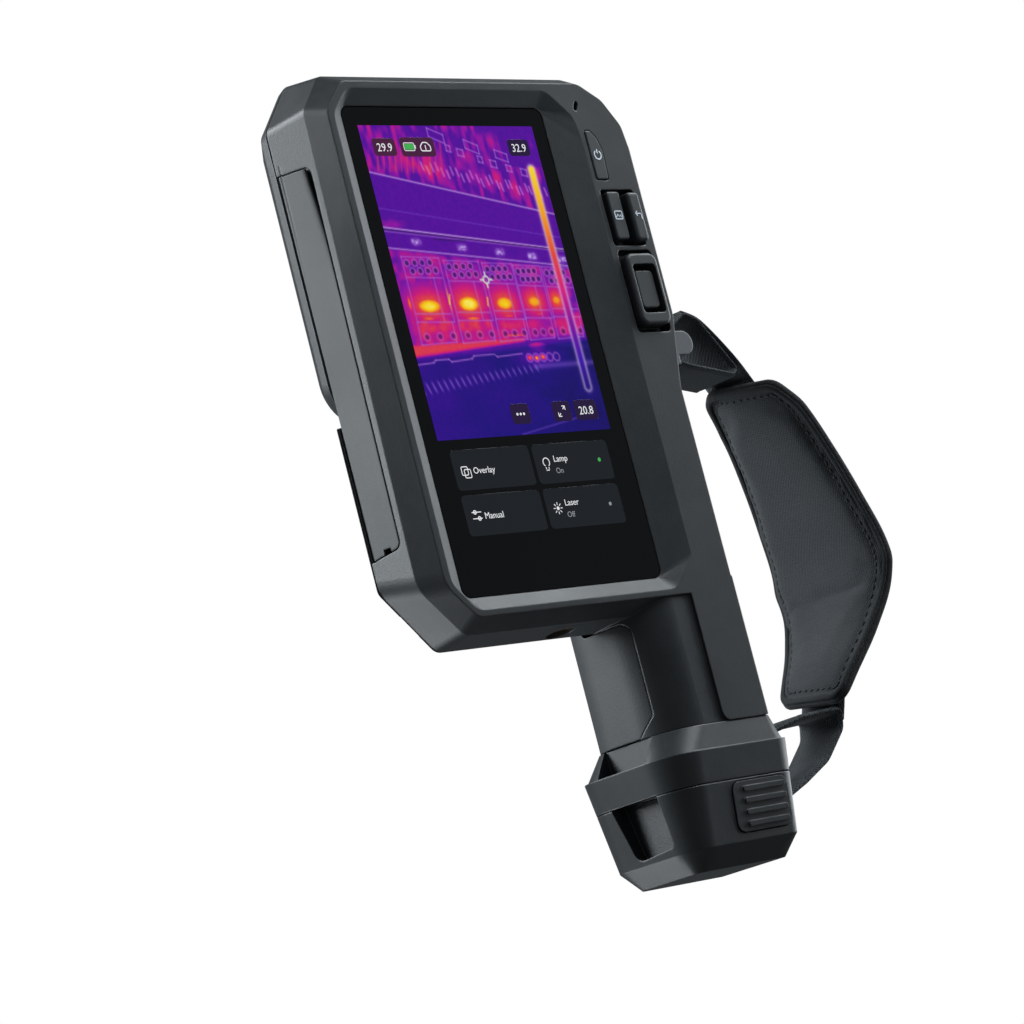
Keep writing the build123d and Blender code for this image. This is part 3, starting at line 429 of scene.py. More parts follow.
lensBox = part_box("infrared_lens")
lensMiddle = (lensBox[0] + lensBox[1]) / 2
lensAxis = (lensMiddle.x, 0, lensMiddle.z)

# each finish: how it is made, its values, and the nodes that have it
finishes = {
    "charcoalShell": (mouldedPlastic, dict(dark=(0.0197, 0.0223, 0.0244), light=(0.0273, 0.0304, 0.0331)),
                      "rear_housing lens_housing lower_cover handle_collar"),
    "gripShell": (mouldedPlastic, dict(dark=(0.0240, 0.0270, 0.0294), light=(0.0330, 0.0366, 0.0396),
                                       grainSize=0.0007, grainDepth=0.00003, rough=(0.50, 0.64)),
                  "grip_shell trigger"),
    "batteryShell": (mouldedPlastic, dict(dark=(0.0176, 0.0198, 0.0220), light=(0.0242, 0.0270, 0.0297)),
                     "battery_case"),
    "latchRubber": (mouldedPlastic, dict(dark=(0.0180, 0.0204, 0.0222), light=(0.0252, 0.0282, 0.0306),
                                         rough=(0.5, 0.62), edge=0.0004, wear=1.0), "battery_latch"),
    "doorRubber": (mouldedPlastic, dict(dark=(0.0267, 0.0296, 0.0319), light=(0.0348, 0.0383, 0.0412),
                                        rough=(0.46, 0.58), grainSize=0.0004), "port_door port_door_pin"),
    "keyRubber": (mouldedPlastic, dict(dark=(0.0289, 0.0323, 0.0348), light=(0.0382, 0.0425, 0.0459),
                                       rough=(0.38, 0.50), grainSize=0.00035, grainDepth=0.000008, edge=0.0005,
                                       wear=0.7),
                  "power_button gallery_button back_button nav_ring select_button nav_gimbal key_mat"),
    "ringRubber": (mouldedPlastic, dict(dark=(0.010, 0.010, 0.011), light=(0.017, 0.017, 0.018), rough=(0.55, 0.7)),
                   "focus_ring battery_seal"),
    "gasketFoam": (mouldedPlastic, dict(dark=(0.006, 0.006, 0.006), light=(0.010, 0.010, 0.010), rough=(0.8, 0.95),
                                        wear=0), "display_gasket speaker trigger_switch contact_block"),
    "opticsPanel": (mouldedPlastic, dict(dark=(0.005, 0.005, 0.006), light=(0.008, 0.008, 0.009), rough=(0.16, 0.24),
                                         grainDepth=0.000002, wear=0.2), "optics_panel"),
    "barrel": (turnedMetal, dict(colour=(0.05, 0.052, 0.056), rough=0.32, centre=lensAxis),
               "lens_barrel laser_module visual_camera"),
    "chassis": (turnedMetal, dict(colour=(0.55, 0.56, 0.58), rough=0.38),
                "chassis_plate usb_socket card_slot video_socket"),
    "core": (turnedMetal, dict(colour=(0.30, 0.31, 0.33), rough=0.35, centre=lensAxis), "thermal_core"),
    "steel": (gloss, dict(colour=(0.30, 0.31, 0.32), rough=0.26, smear=0.12, Metallic=1.0),
              "trigger_pin cover_screws nose_screws latch_spring"),
    "brass": (gloss, dict(colour=(0.66, 0.46, 0.18), rough=0.24, smear=0.14, Metallic=1.0),
              "tripod_insert battery_contacts"),
    "cell": (gloss, dict(colour=(0.02, 0.06, 0.16), rough=0.25, smear=0.15), "battery_cells"),
    "board": (gloss, dict(colour=(0.006, 0.055, 0.022), rough=0.35, smear=0.2), "main_board key_board lamp_board"),
    "coverGlass": (gloss, dict(colour=(0.0022, 0.0022, 0.0026), rough=0.035, smear=0.03), "cover_glass"),
    "displayPanel": (gloss, dict(colour=(0.004, 0.004, 0.006), rough=0.2), "display_panel"),
    "germanium": (gloss, dict(colour=(0.030, 0.016, 0.040), rough=0.05, coat=0.6, Metallic=0.85), "infrared_lens"),
    "window": (gloss, dict(colour=(0.004, 0.005, 0.009), rough=0.03, coat=0.5), "camera_window"),
    "lampLens": (ringedOptic, dict(centres=lampAxes()), "lamp_lenses"),
    "lugAlloy": (mouldedPlastic, dict(dark=(0.085, 0.092, 0.098), light=(0.120, 0.128, 0.136), rough=(0.34, 0.46),
                                      wear=0.8), "strap_lug strap_pad strap_upper strap_lower"),
}
for finishName, (makeFinish, values, nodeNames) in finishes.items():
    nodeMaterial = makeFinish(finishName, **values)
    for nodeName in nodeNames.split():
        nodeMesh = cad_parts[nodeName].data
        nodeMesh.materials.clear()
        nodeMesh.materials.append(nodeMaterial)
print("CAD nodes finished")


def gridFaces(rows, columns, wrapRows=False, wrapColumns=False):
    # quads between neighbouring points of a rows x columns grid, numbered row by row
    r = np.arange(rows if wrapRows else rows - 1)[:, None]
    c = np.arange(columns if wrapColumns else columns - 1)[None, :]
    a, b = r * columns + c, r * columns + (c + 1) % columns
    up = ((r + 1) % rows) * columns
    return np.stack([a, b, up + (c + 1) % columns, up + c], axis=-1).reshape(-1, 4).tolist()


def tubeFaces(rows, count):
    # a tube's wall over rows of count points, and its two flat ends
    start = (rows - 1) * count
    ends = [list(range(count - 1, -1, -1)), list(range(start, start + count))]
    return gridFaces(rows, count, wrapColumns=True) + ends


def shellFaces(rings, count):
    # a wall over stacked rings, fanned at each end to a middle point; the two middles are the last points
    faces, last, middle = gridFaces(rings, count, wrapColumns=True), (rings - 1) * count, rings * count
    for i in range(count):
        j = (i + 1) % count
        faces += [[j, i, middle], [last + i, last + j, middle + 1]]
    return faces


def joinShapes(shapes):
    # one mesh of several: each shape's faces count on from the points before it
    points, faces, start = [], [], 0
    for shapePoints, shapeFaces in shapes:
        points.append(np.asarray(shapePoints, float))
        faces += [[i + start for i in face] for face in shapeFaces]
        start += len(shapePoints)
    return np.concatenate(points), faces


def addPiece(name, points, faces, material, body, slotName, smooth=True):
    # a closed form from points in mm, its normals turned outwards
    mesh = bpy.data.meshes.new(name)
    mesh.from_pydata((np.asarray(points) * mm).tolist(), [], faces)
    turnOutwards(mesh)
    mesh.polygons.foreach_set("use_smooth", np.full(len(mesh.polygons), smooth))
    mesh.materials.append(material)
    made = bpy.data.objects.new(name, mesh)
    bpy.context.scene.collection.objects.link(made)
    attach(made, body)
    return made


def turnOutwards(mesh):
    work = bmesh.new()
    work.from_mesh(mesh)
    bmesh.ops.recalc_face_normals(work, faces=work.faces)
    work.to_mesh(mesh)
    work.free()


arcPoints = 9                                   # on each rounded corner


def roundedPath(corners, radii, step, closed=True):
    # a polygon whose corners are arcs that touch both sides, then even steps along it; gives the points and the length
    corners = np.asarray(corners, float)
    count = len(corners)
    parts = []
    for i in range(count):
        if not closed and i in (0, count - 1):
            parts.append(corners[i][None])
            continue
        before, here, after = corners[i - 1], corners[i], corners[(i + 1) % count]
        a, b = before - here, after - here
        a, b = a / np.linalg.norm(a), b / np.linalg.norm(b)
        half = math.acos(max(-1.0, min(1.0, float(a @ b)))) / 2
        away = radii[i] / math.tan(half)
        middle = here + (a + b) / np.linalg.norm(a + b) * radii[i] / math.sin(half)
        start, end = here + a * away - middle, here + b * away - middle
        sweep = math.atan2(start[0] * end[1] - start[1] * end[0], start @ end)
        t = np.linspace(0, sweep, arcPoints)[:, None]
        parts.append(middle + start * np.cos(t) + np.array([-start[1], start[0]]) * np.sin(t))
    line = np.concatenate(parts)
    if closed:
        line = np.concatenate([line, line[:1]])
    lengths = np.concatenate([[0], np.cumsum(np.linalg.norm(np.diff(line, axis=0), axis=1))])
    total = max(8, int(round(lengths[-1] / step)))
    even = np.linspace(0, lengths[-1], total + 1)
    if closed:
        even = even[:-1]
    return np.stack([np.interp(even, lengths, line[:, k]) for k in range(line.shape[1])], axis=1), lengths[-1]


def alongLine(line, closed=True):
    # unit directions along a sampled line, from each point's two neighbours
    if closed:
        way = np.roll(line, -1, axis=0) - np.roll(line, 1, axis=0)
    else:
        way = np.gradient(line, axis=0)
    return way / np.linalg.norm(way, axis=1, keepdims=True)


def flatPlate(outline, thick, edge=0.25):
    # a thin plate over a star-shaped outline: rings drawn in by edge*(1-cos a) while the height rises by edge*sin a
    centre = outline.mean(axis=0)
    reach = np.linalg.norm(outline - centre, axis=1, keepdims=True)
    count = len(outline)
    rings = [np.column_stack([outline, np.zeros(count)])]
    for a in (0, math.pi / 4, math.pi / 2):
        drawn = centre + (outline - centre) * (1 - edge * (1 - math.cos(a)) / reach)
        rings.append(np.column_stack([drawn, np.full(count, thick - edge * (1 - math.sin(a)))]))
    points = np.concatenate(rings + [[[*centre, 0.0]], [[*centre, thick]]])
    return points, shellFaces(len(rings), count)


def strokeBand(line, width, thick, closed=False):
    # a flat band along a line: a width x thick section carried along it
    line = np.asarray(line, float)
    way = alongLine(line, closed)
    left = np.column_stack([-way[:, 1], way[:, 0]]) * width / 2
    low, high = np.zeros(len(line)), np.full(len(line), thick)
    section = [np.column_stack([line + left, low]), np.column_stack([line - left, low]),
               np.column_stack([line - left, high]), np.column_stack([line + left, high])]
    faces = gridFaces(len(line), 4, True, True) if closed else tubeFaces(len(line), 4)
    return np.stack(section, axis=1).reshape(-1, 3), faces


def roundBox(left, top, wide, tall, radius, step=0.4):
    # a rectangle's outline with equal rounded corners
    corners = [(left, top), (left + wide, top), (left + wide, top - tall), (left, top - tall)]
    return roundedPath(corners, [radius] * 4, step)[0]


def circle(x, z, radius, count=32, start=0.0, end=2 * math.pi):
    # a circle, or an arc of it from one angle to another
    turn = np.linspace(start, end, count, endpoint=abs(end - start) < 6.28)
    return np.column_stack([x + radius * np.cos(turn), z + radius * np.sin(turn)])


def readPoints(mesh):
    flat = np.empty(len(mesh.vertices) * 3)
    mesh.vertices.foreach_get("co", flat)
    return flat.reshape(-1, 3)


def wording(text, cap, x, z, thick, align="LEFT"):
    # lettering made a mesh: cap height in mm, its baseline's end or middle at x, z
    curve = bpy.data.curves.new("wording", "FONT")
    curve.body = text
    curve.size = cap / 0.73          # the built-in face's capitals are 0.73 of its size
    curve.align_x = align
    curve.extrude = thick / 2
    curve.resolution_u = 3
    holder = bpy.data.objects.new("wording", curve)
    bpy.context.scene.collection.objects.link(holder)
    mesh = bpy.data.meshes.new_from_object(holder)
    points = readPoints(mesh) + (x, z, thick / 2)
    faces = [list(face.vertices) for face in mesh.polygons]
    bpy.data.objects.remove(holder)
    bpy.data.curves.remove(curve)
    bpy.data.meshes.remove(mesh)
    return points, faces


def standUp(shape, front):
    # a shape drawn flat (x, z, height) stands on the plane y = front and rises towards -y
    points, faces = shape
    return np.column_stack([points[:, 0], front - points[:, 2], points[:, 1]]), faces


glassLow, glassHigh = (np.array(corner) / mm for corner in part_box("cover_glass"))
picture = {
    "left": glassLow[0] + 5.15, "top": glassHigh[2] - 5.58, "wide": 68.5, "tall": 91.34,
    "columns": 229, "rows": 305, "front": glassLow[1] - 0.03, "depth": 0.05,
    "palette": [(0.00, (6, 6, 58)), (0.14, (26, 6, 122)), (0.30, (74, 0, 156)), (0.46, (146, 8, 164)),
                (0.60, (206, 16, 124)), (0.72, (228, 66, 66)), (0.84, (246, 148, 22)), (0.94, (252, 206, 12)),
                (1.00, (255, 244, 120))],
    "modules": [(3.8, 17.9, 38.4), (19.6, 32.9, 39.8), (34.2, 45.8, 40.8), (46.2, 56.7, 41.7), (57.5, 68.5, 42.4)],
    # middle across and down, half width, half height and heat of each glow, in three kinds
    "hot": [(9.9, 52.9, 6.0, 2.7, 0.97), (25.2, 52.7, 5.4, 3.0, 0.99), (39.2, 52.9, 4.5, 2.6, 0.94),
            (51.1, 52.7, 3.8, 2.3, 0.88), (60.2, 52.5, 2.6, 2.0, 0.85)],
    "bars": [(17.9, 51.5, 0.55, 6.0, 0.84), (32.7, 52.3, 0.5, 3.4, 0.80), (8.4, 56.5, 4.4, 1.0, 0.76),
             (2.6, 52.0, 0.9, 3.6, 0.78), (25.5, 57.0, 4.5, 0.9, 0.80), (39.5, 56.6, 4.0, 0.9, 0.72),
             (52.0, 56.4, 3.2, 0.8, 0.68)],
    "beads": [(43.5, 69.2, 1.3, 1.2, 0.86), (46.3, 69.4, 1.1, 1.1, 0.84), (49.0, 69.1, 1.2, 1.1, 0.82),
              (47.8, 66.0, 4.6, 1.6, 0.74), (40.0, 62.4, 7.5, 0.7, 0.74)],
    "labels": [(11.0, 34.2), (28.0, 36.2), (42.5, 37.8), (55.0, 39.2), (66.7, 40.4)],
    # middle, width, height and slope of each ferrule among the wires
    "ferrules": [(29.0, 2.0, 5.6, 2.6, 0.35), (42.0, 5.4, 5.0, 2.6, 0.35), (53.0, 8.3, 4.6, 2.4, 0.3),
                 (32.6, 6.6, 1.6, 1.8, 0.2), (37.0, 7.8, 2.2, 2.0, 0.2), (44.2, 9.9, 1.6, 1.8, 0.2),
                 (49.0, 11.2, 2.2, 2.0, 0.2), (54.8, 12.6, 1.8, 1.8, 0.2), (60.5, 13.8, 2.2, 2.0, 0.2)],
    "edge": [(0, 69.6), (6, 69.2), (7, 68.5), (12, 68.4), (13, 69.2), (21, 68.6), (22, 67.8), (30, 67.6), (31, 68.4),
             (41, 67.8)],
    "spot": (34.3, 45.8), "spotInk": (214, 238, 210),
    "scale": {"middle": 63.85, "half": 1.05, "top": 13.2, "foot": 78.5, "rim": (226, 214, 236.0),
              "colours": [(13, (252, 220, 30)), (27, (248, 158, 20)), (39, (230, 66, 58)), (50, (218, 22, 128)),
                          (60, (122, 4, 160)), (70, (56, 10, 170)), (79, (28, 8, 118))]},
    "inks": {"pale": (196, 160, 226), "lilac": (176, 118, 214), "faint": (122, 84, 206)},
    "seed": 7, "soft": 0.28,                          # mm over which a drawn edge fades
}


def toLinear(colour):
    # the standard curve from a display's 0-255 values to light
    c = np.asarray(colour, float) / 255
    return np.where(c <= 0.04045, c / 12.92, ((c + 0.055) / 1.055) ** 2.4)


def paintPicture(look):
    # heat at each point is a sum of soft shapes and noise, turned into colour by the palette; outlines are laid over it
    u = np.linspace(0, look["wide"], look["columns"])[None, :]
    v = np.linspace(0, look["tall"], look["rows"])[:, None]
    u, v = np.broadcast_arrays(u, v)
    rng = np.random.default_rng(look["seed"])

    def rise(x):
        return 1 / (1 + np.exp(-np.clip(x / look["soft"], -40, 40)))

    def box(u0, u1, v0, v1):
        return rise(u - u0) * rise(u1 - u) * rise(v - v0) * rise(v1 - v)

    def line(p, q, width=0.28):
        p, q = np.array(p), np.array(q)
        along = q - p
        t = np.clip(((u - p[0]) * along[0] + (v - p[1]) * along[1]) / (along @ along), 0, 1)
        away = np.hypot(u - p[0] - t * along[0], v - p[1] - t * along[1])
        return np.exp(-(away / width) ** 2)

    def blob(cu, cv, ru, rv, power=1.0):
        return np.exp(-(((u - cu) / ru) ** 2 + ((v - cv) / rv) ** 2) ** power)

    def glow(spots, power):
        # each spot lifts the heat to its own peak where it is cooler
        nonlocal heat
        for cu, cv, ru, rv, peak in spots:
            heat = np.maximum(heat, peak * blob(cu, cv, ru, rv, power))

    def ring(cu, cv, r, width=0.28):
        return np.exp(-((np.hypot(u - cu, v - cv) - r) / width) ** 2)

    def cloud(cellU, cellV, weight):
        # smooth noise: random values on a coarse grid, read off between its points along both ways
        coarse = rng.random((int(look["tall"] / cellV) + 3, int(look["wide"] / cellU) + 3))
        x, y = u / cellU, v / cellV
        i, j = np.floor(y).astype(int), np.floor(x).astype(int)
        fy, fx = y - i, x - j
        fy, fx = fy * fy * (3 - 2 * fy), fx * fx * (3 - 2 * fx)
        top = coarse[i, j] * (1 - fx) + coarse[i, j + 1] * fx
        low = coarse[i + 1, j] * (1 - fx) + coarse[i + 1, j + 1] * fx
        return weight * (top * (1 - fy) + low * fy - 0.5)

    duct = 13.7 + 0.19 * u                          # lower edge of the wires
    shelf = 30.0 + 0.105 * u
    heat = 0.27 + cloud(9, 6, 0.06) + cloud(1.6, 1.4, 0.05)
    wires = rise(duct - v)
    heat += wires * (0.10 + cloud(1.3, 5.0, 0.32) + cloud(3.5, 3.0, 0.16) + 0.14 * blob(10, 10, 9, 5)
                     + 0.16 * blob(23, 13, 7, 4) + 0.10 * blob(46, 17, 6, 4))
    heat -= wires * 0.20 * rise(u - 54) * rise(12 - v)
    heat += 0.20 * blob(3, 29.2, 6, 1.8)
    rail = rise(v - shelf) * rise(shelf + 5.8 - v)
    heat -= 0.17 * rail
    body = rise(v - shelf - 5.8) * rise(66.0 - 0.05 * u - v)
    heat += body * (0.17 + cloud(2.2, 2.2, 0.20) + 0.08 * blob(14, 56, 22, 9))
    for left, right, top in look["modules"]:
        inside = box(left, right, top, 57.5)
        heat += inside * (0.02 + cloud(1.1, 1.1, 0.10))
        heat -= 0.20 * box(left + 3.5, left + 6.0, top + 6.4, top + 9.2)
        heat -= 0.14 * box(right - 5.0, right - 3.0, top + 6.6, top + 9.0)
        heat += 0.10 * box(left, right, 57.5, 64.0)
    for spot in look["hot"]:
        halo = blob(spot[0], spot[1], spot[2] * 1.7, spot[3] * 2.4, 0.9)
        heat = np.maximum(heat, 0.32 + 0.46 * halo)
        glow([spot], 1.8)
    glow(look["bars"], 1.4)
    heat = np.maximum(heat, 0.70 * rise(v - 63.6 + 0.02 * u) * rise(67.8 - 0.075 * u - v) * rise(44 - u))
    glow(look["beads"], 1.3)
    below = rise(v - 68.4 + 0.055 * u)
    heat = heat * (1 - below) + below * (np.maximum(heat - 0.1, 0.0) * blob(47, 69, 7, 2.2)
                                         + 0.20 - 0.10 * u / look["wide"] + cloud(8, 5, 0.05))
    heat += cloud(0.7, 0.7, 0.03)

    def colourBy(value, table):
        stops = [stop for stop, colour in table]
        return np.stack([np.interp(value, stops, [colour[k] for stop, colour in table]) for k in range(3)], axis=-1)

    paint = colourBy(heat, look["palette"])

    def lay(mask, colour):
        nonlocal paint
        share = np.clip(mask, 0, 1)[..., None]
        paint = paint * (1 - share) + np.asarray(colour, float) * share

    def outline(corners, share, width, colour):
        for start, end in zip(corners, corners[1:] + corners[:1]):
            lay(share * line(start, end, width), colour)

    pale, lilac, faint = (look["inks"][k] for k in ("pale", "lilac", "faint"))
    lay(0.75 * line((0, 13.7), (68.5, 26.7)), pale)
    lay(0.45 * line((0, 24.2), (68.5, 33.8), 0.22), faint)
    for start, end, share in ((29.8, 37.4, 0.85), (30.9, 38.0, 0.4), (35.8, 42.4, 0.7)):
        lay(share * line((0, start), (68.5, end), 0.26), pale)
    for start, end in (((0, 30.4), (68.5, 37.7)), ((18, 33.6), (30, 34.2))):
        lay(0.7 * line(start, end, 0.18), (30, 20, 70))
    for cu, cv in look["labels"]:
        speckle = 0.6 + 3 * np.abs(cloud(0.8, 0.8, 1.0))
        lay(0.75 * box(cu - 1.7, cu + 1.7, cv - 0.8, cv + 0.8) * speckle, (190, 160, 232))
    for cu, cv, wide, tall, lean in look["ferrules"]:
        w, t = wide / 2, tall / 2
        outline([(cu - w, cv - t), (cu + w, cv - t + lean * wide), (cu + w, cv + t + lean * wide), (cu - w, cv + t)],
                0.7, 0.24, lilac)
    for k in range(26):
        cu = 20.5 + 1.85 * k + 0.35 * math.sin(3.1 * k)
        cv = 10.8 + 0.19 * (cu - 20) + 0.9 * math.sin(1.7 * k)
        lay(0.6 * line((cu, cv), (cu + 0.5, cv + 2.2), 0.36), (214, 150, 222))
    for k in range(12):
        cu = 5.0 + 2.2 * k
        lay(0.5 * line((cu + 0.8, 5.0), (cu - 1.4, 13.2 + 0.1 * k), 0.30), (210, 60, 120) if k % 3 else (224, 96, 60))
    # the row of breakers: outlines, terminal holes and the lower terminals
    for left, right, top in look["modules"]:
        slope = 0.045
        for a, b in (((left, top), (right, top + slope * (right - left))), ((left, top), (left, 57.5)),
                     ((right, top + 0.6), (right, 57.6)), ((left, 57.4), (right, 57.8)),
                     ((left + 0.3, top + 6.0), (right - 0.4, top + 6.5)), ((left - 0.2, 57.6), (left - 0.4, 64.0)),
                     ((right - 0.9, 57.8), (right - 1.1, 63.6)), ((left - 0.4, 64.0), (right - 1.1, 63.6)),
                     ((left + 0.5, 55.0), (right - 0.5, 55.4)), ((right - 3.7, top + 6.4), (right - 3.7, 57.4))):
            lay(0.55 * line(a, b, 0.24), lilac)
        pitch = (right - left - 1.2) / 4.4
        for k in range(8):
            cu = left + 1.6 + pitch * (k // 2) + (0.5 * pitch if k % 2 else 0.0)
            cv = top + 1.9 + (2.4 if k % 2 else 0.0)
            lay(0.85 * blob(cu, cv, 0.75, 0.75, 2.0), (52, 22, 96))
            lay(0.6 * ring(cu, cv, 1.0, 0.25), lilac)
        for k in range(3):
            cu = left + 2.2 + (right - left - 4.0) * k / 2
            lay(0.8 * blob(cu, 61.8, 0.8, 0.7, 2.0), (84, 16, 96))
            lay(0.5 * ring(cu, 61.8, 1.1, 0.25), lilac)
    lay(0.85 * line((18.6, 49.8), (17.8, 52.6), 0.2), (246, 226, 60))
    lay(0.8 * line((33.1, 51.0), (32.4, 53.4), 0.2), (246, 214, 50))
    # the edge under the breakers, the coiled cable and the braid it turns into
    for a, b in zip(look["edge"][:-1], look["edge"][1:]):
        lay(0.7 * line(a, b, 0.24), lilac)
    widen = np.clip(u / 35, 0, 1)
    top = 75.0 - 0.085 * u
    coil = np.abs(np.sin(math.pi * (u - 0.35 * (v - top)) / 2.3)) ** 6
    lay(0.62 * coil * rise(v - top) * rise(top + 3.3 - 1.2 * widen - v) * rise(47 - u), (150, 104, 214))
    lay(0.5 * rise(v - 71.2 + 0.02 * (u - 45)) * rise(72.4 - 0.02 * (u - 45) - v) * rise(u - 44), (150, 110, 216))
    lay(0.5 * line((33, 91.2), (57, 87.3), 0.24), faint)
    for start, end in (((30.0, 67.2), (44.0, 66.0)), ((55.8, 65.4), (68.5, 66.8))):
        lay(0.5 * line(start, end, 0.7), (44, 18, 140))
    for k in range(5):
        lay(0.6 * ring(43.5 + 2.7 * k, 69.2, 1.2, 0.26), lilac)
    # the spot marker: a ring and four ticks
    su, sv = look["spot"]
    lay(0.95 * ring(su, sv, 1.05, 0.28), look["spotInk"])
    for du, dv in ((1, 0), (-1, 0), (0, 1), (0, -1)):
        tick = line((su + 1.3 * du, sv + 1.3 * dv), (su + 2.2 * du, sv + 2.2 * dv), 0.3)
        lay(0.95 * tick, look["spotInk"])
    # the temperature scale: a round-ended bar coloured down its length, with a pale rim
    scale = look["scale"]
    away = np.hypot(u - scale["middle"], v - np.clip(v, scale["top"], scale["foot"]))
    for share, colour in ((rise(scale["half"] + 0.45 - away) * 0.95, np.array(scale["rim"])),
                          (rise((scale["half"] - away) * 1.4), colourBy(v, scale["colours"]))):
        paint = paint * (1 - share[..., None]) + colour * share[..., None]
    return toLinear(np.clip(paint * 0.97, 0, 255))


def makePicture(look):
    # a thin slab: the painted grid in front, one face behind, and a wall between their rims
    rows, columns = look["rows"], look["columns"]
    x = look["left"] + np.linspace(0, look["wide"], columns)
    z = look["top"] - np.linspace(0, look["tall"], rows)
    x, z = (grid.ravel() for grid in np.meshgrid(x, z))
    front = np.column_stack([x, np.full(x.size, look["front"]), z])
    count = rows * columns
    number = np.arange(count).reshape(rows, columns)
    rim = np.concatenate([number[0, :-1], number[:-1, -1], number[-1, :0:-1], number[:0:-1, 0]])
    behind = front[rim] + (0, look["depth"], 0)
    n = len(rim)
    faces = gridFaces(rows, columns)
    faces += [[int(rim[i]), int(rim[(i + 1) % n]), count + (i + 1) % n, count + i] for i in range(n)]
    faces.append([count + i for i in range(n)])
    made = addPiece("thermalPicture", np.concatenate([front, behind]), faces, screenPaint, "body", "screen", False)
    paint = paintPicture(look).reshape(-1, 3)
    colours = np.ones((count + n, 4))
    colours[:count, :3] = paint
    colours[count:, :3] = paint[rim]
    layer = made.data.color_attributes.new("paint", "FLOAT_COLOR", "POINT")
    layer.data.foreach_set("color", colours.ravel())


screenPaint = glowing("screenPaint", attribute="paint")
makePicture(picture)
print("picture painted")


display = {
    "front": picture["front"], "tileHeight": 0.03, "inkHeight": 0.03, "stroke": 0.3, "iconStroke": 0.26,
    "tiles": [(-77.1, 125.3, 30.4, 11.5), (-45.4, 125.3, 30.3, 11.5), (-77.1, 112.4, 30.4, 11.6),
              (-45.4, 112.4, 30.3, 11.6)],                                 # left, top, width, height
    "warmPills": [(3.8, 12.5, 3.8, 9.0), (14.3, 27.5, 3.5, 9.2)],          # left, right, top, foot on the picture
    "coolPills": [(56.7, 65.2, 4.0, 9.0), (30.6, 37.9, 82.3, 88.2), (47.1, 54.3, 82.3, 88.2), (56.0, 65.0, 82.3, 88.2)],
    "readings": [("29.9", 8.15, 6.4), ("32.9", 60.95, 6.5), ("20.8", 60.5, 85.3)],
    "words": [("Overlay", -69.8, 119.0), ("Manual", -69.8, 106.1), ("Lamp", -37.9, 120.6), ("Laser", -37.9, 107.8)],
    "states": [("On", -37.9, 116.6), ("Off", -37.9, 103.8)],
    "readingCap": 2.5, "cap": 1.9, "stateCap": 1.7,
    "battery": (17.6, 6.3), "cloud": (23.9, 6.4), "dots": (34.25, 85.3), "arrows": (50.7, 85.25),
    "overlayIcon": (-72.6, 119.3), "sliderIcon": (-72.6, 106.6), "bulbIcon": (-40.9, 119.6), "raysIcon": (-40.9, 106.6),
    "greyDot": (-19.8, 106.6, 0.55), "greenDot": (-19.6, 119.6, 0.6),
    "tileGrey": (0.0085, 0.0105, 0.0130), "pillMaroon": (0.058, 0.010, 0.045), "pillNavy": (0.016, 0.006, 0.040),
    "inkWhite": (0.78, 0.80, 0.82), "inkGrey": (0.26, 0.28, 0.30), "inkGreen": (0.05, 0.42, 0.08),
}


def screenPoint(u, v):
    # from the picture's top left corner, across and down, to x and z
    return picture["left"] + u, picture["top"] - v


def stroke(points, width=display["stroke"], closed=False):
    return strokeBand(points, width, display["inkHeight"], closed)


def dot(x, z, radius):
    return flatPlate(circle(x, z, radius, 16), display["inkHeight"], edge=0.01)


def tile(x, z, wide, tall, radius):
    return flatPlate(roundBox(x, z, wide, tall, radius), display["tileHeight"], edge=0.02)


def pills(boxes):
    return [tile(*screenPoint(u0, v0), u1 - u0, v1 - v0, 1.1) for u0, u1, v0, v1 in boxes]


def showPiece(name, shapes, lift, colourName, flicker):
    # flat shapes stood up on the display, lift mm in front of it, in a lit colour
    points, faces = joinShapes([standUp(shape, display["front"] - lift) for shape in shapes])
    addPiece(name, points, faces, glowing(colourName, display[colourName], flicker=flicker), "body", "screen", False)


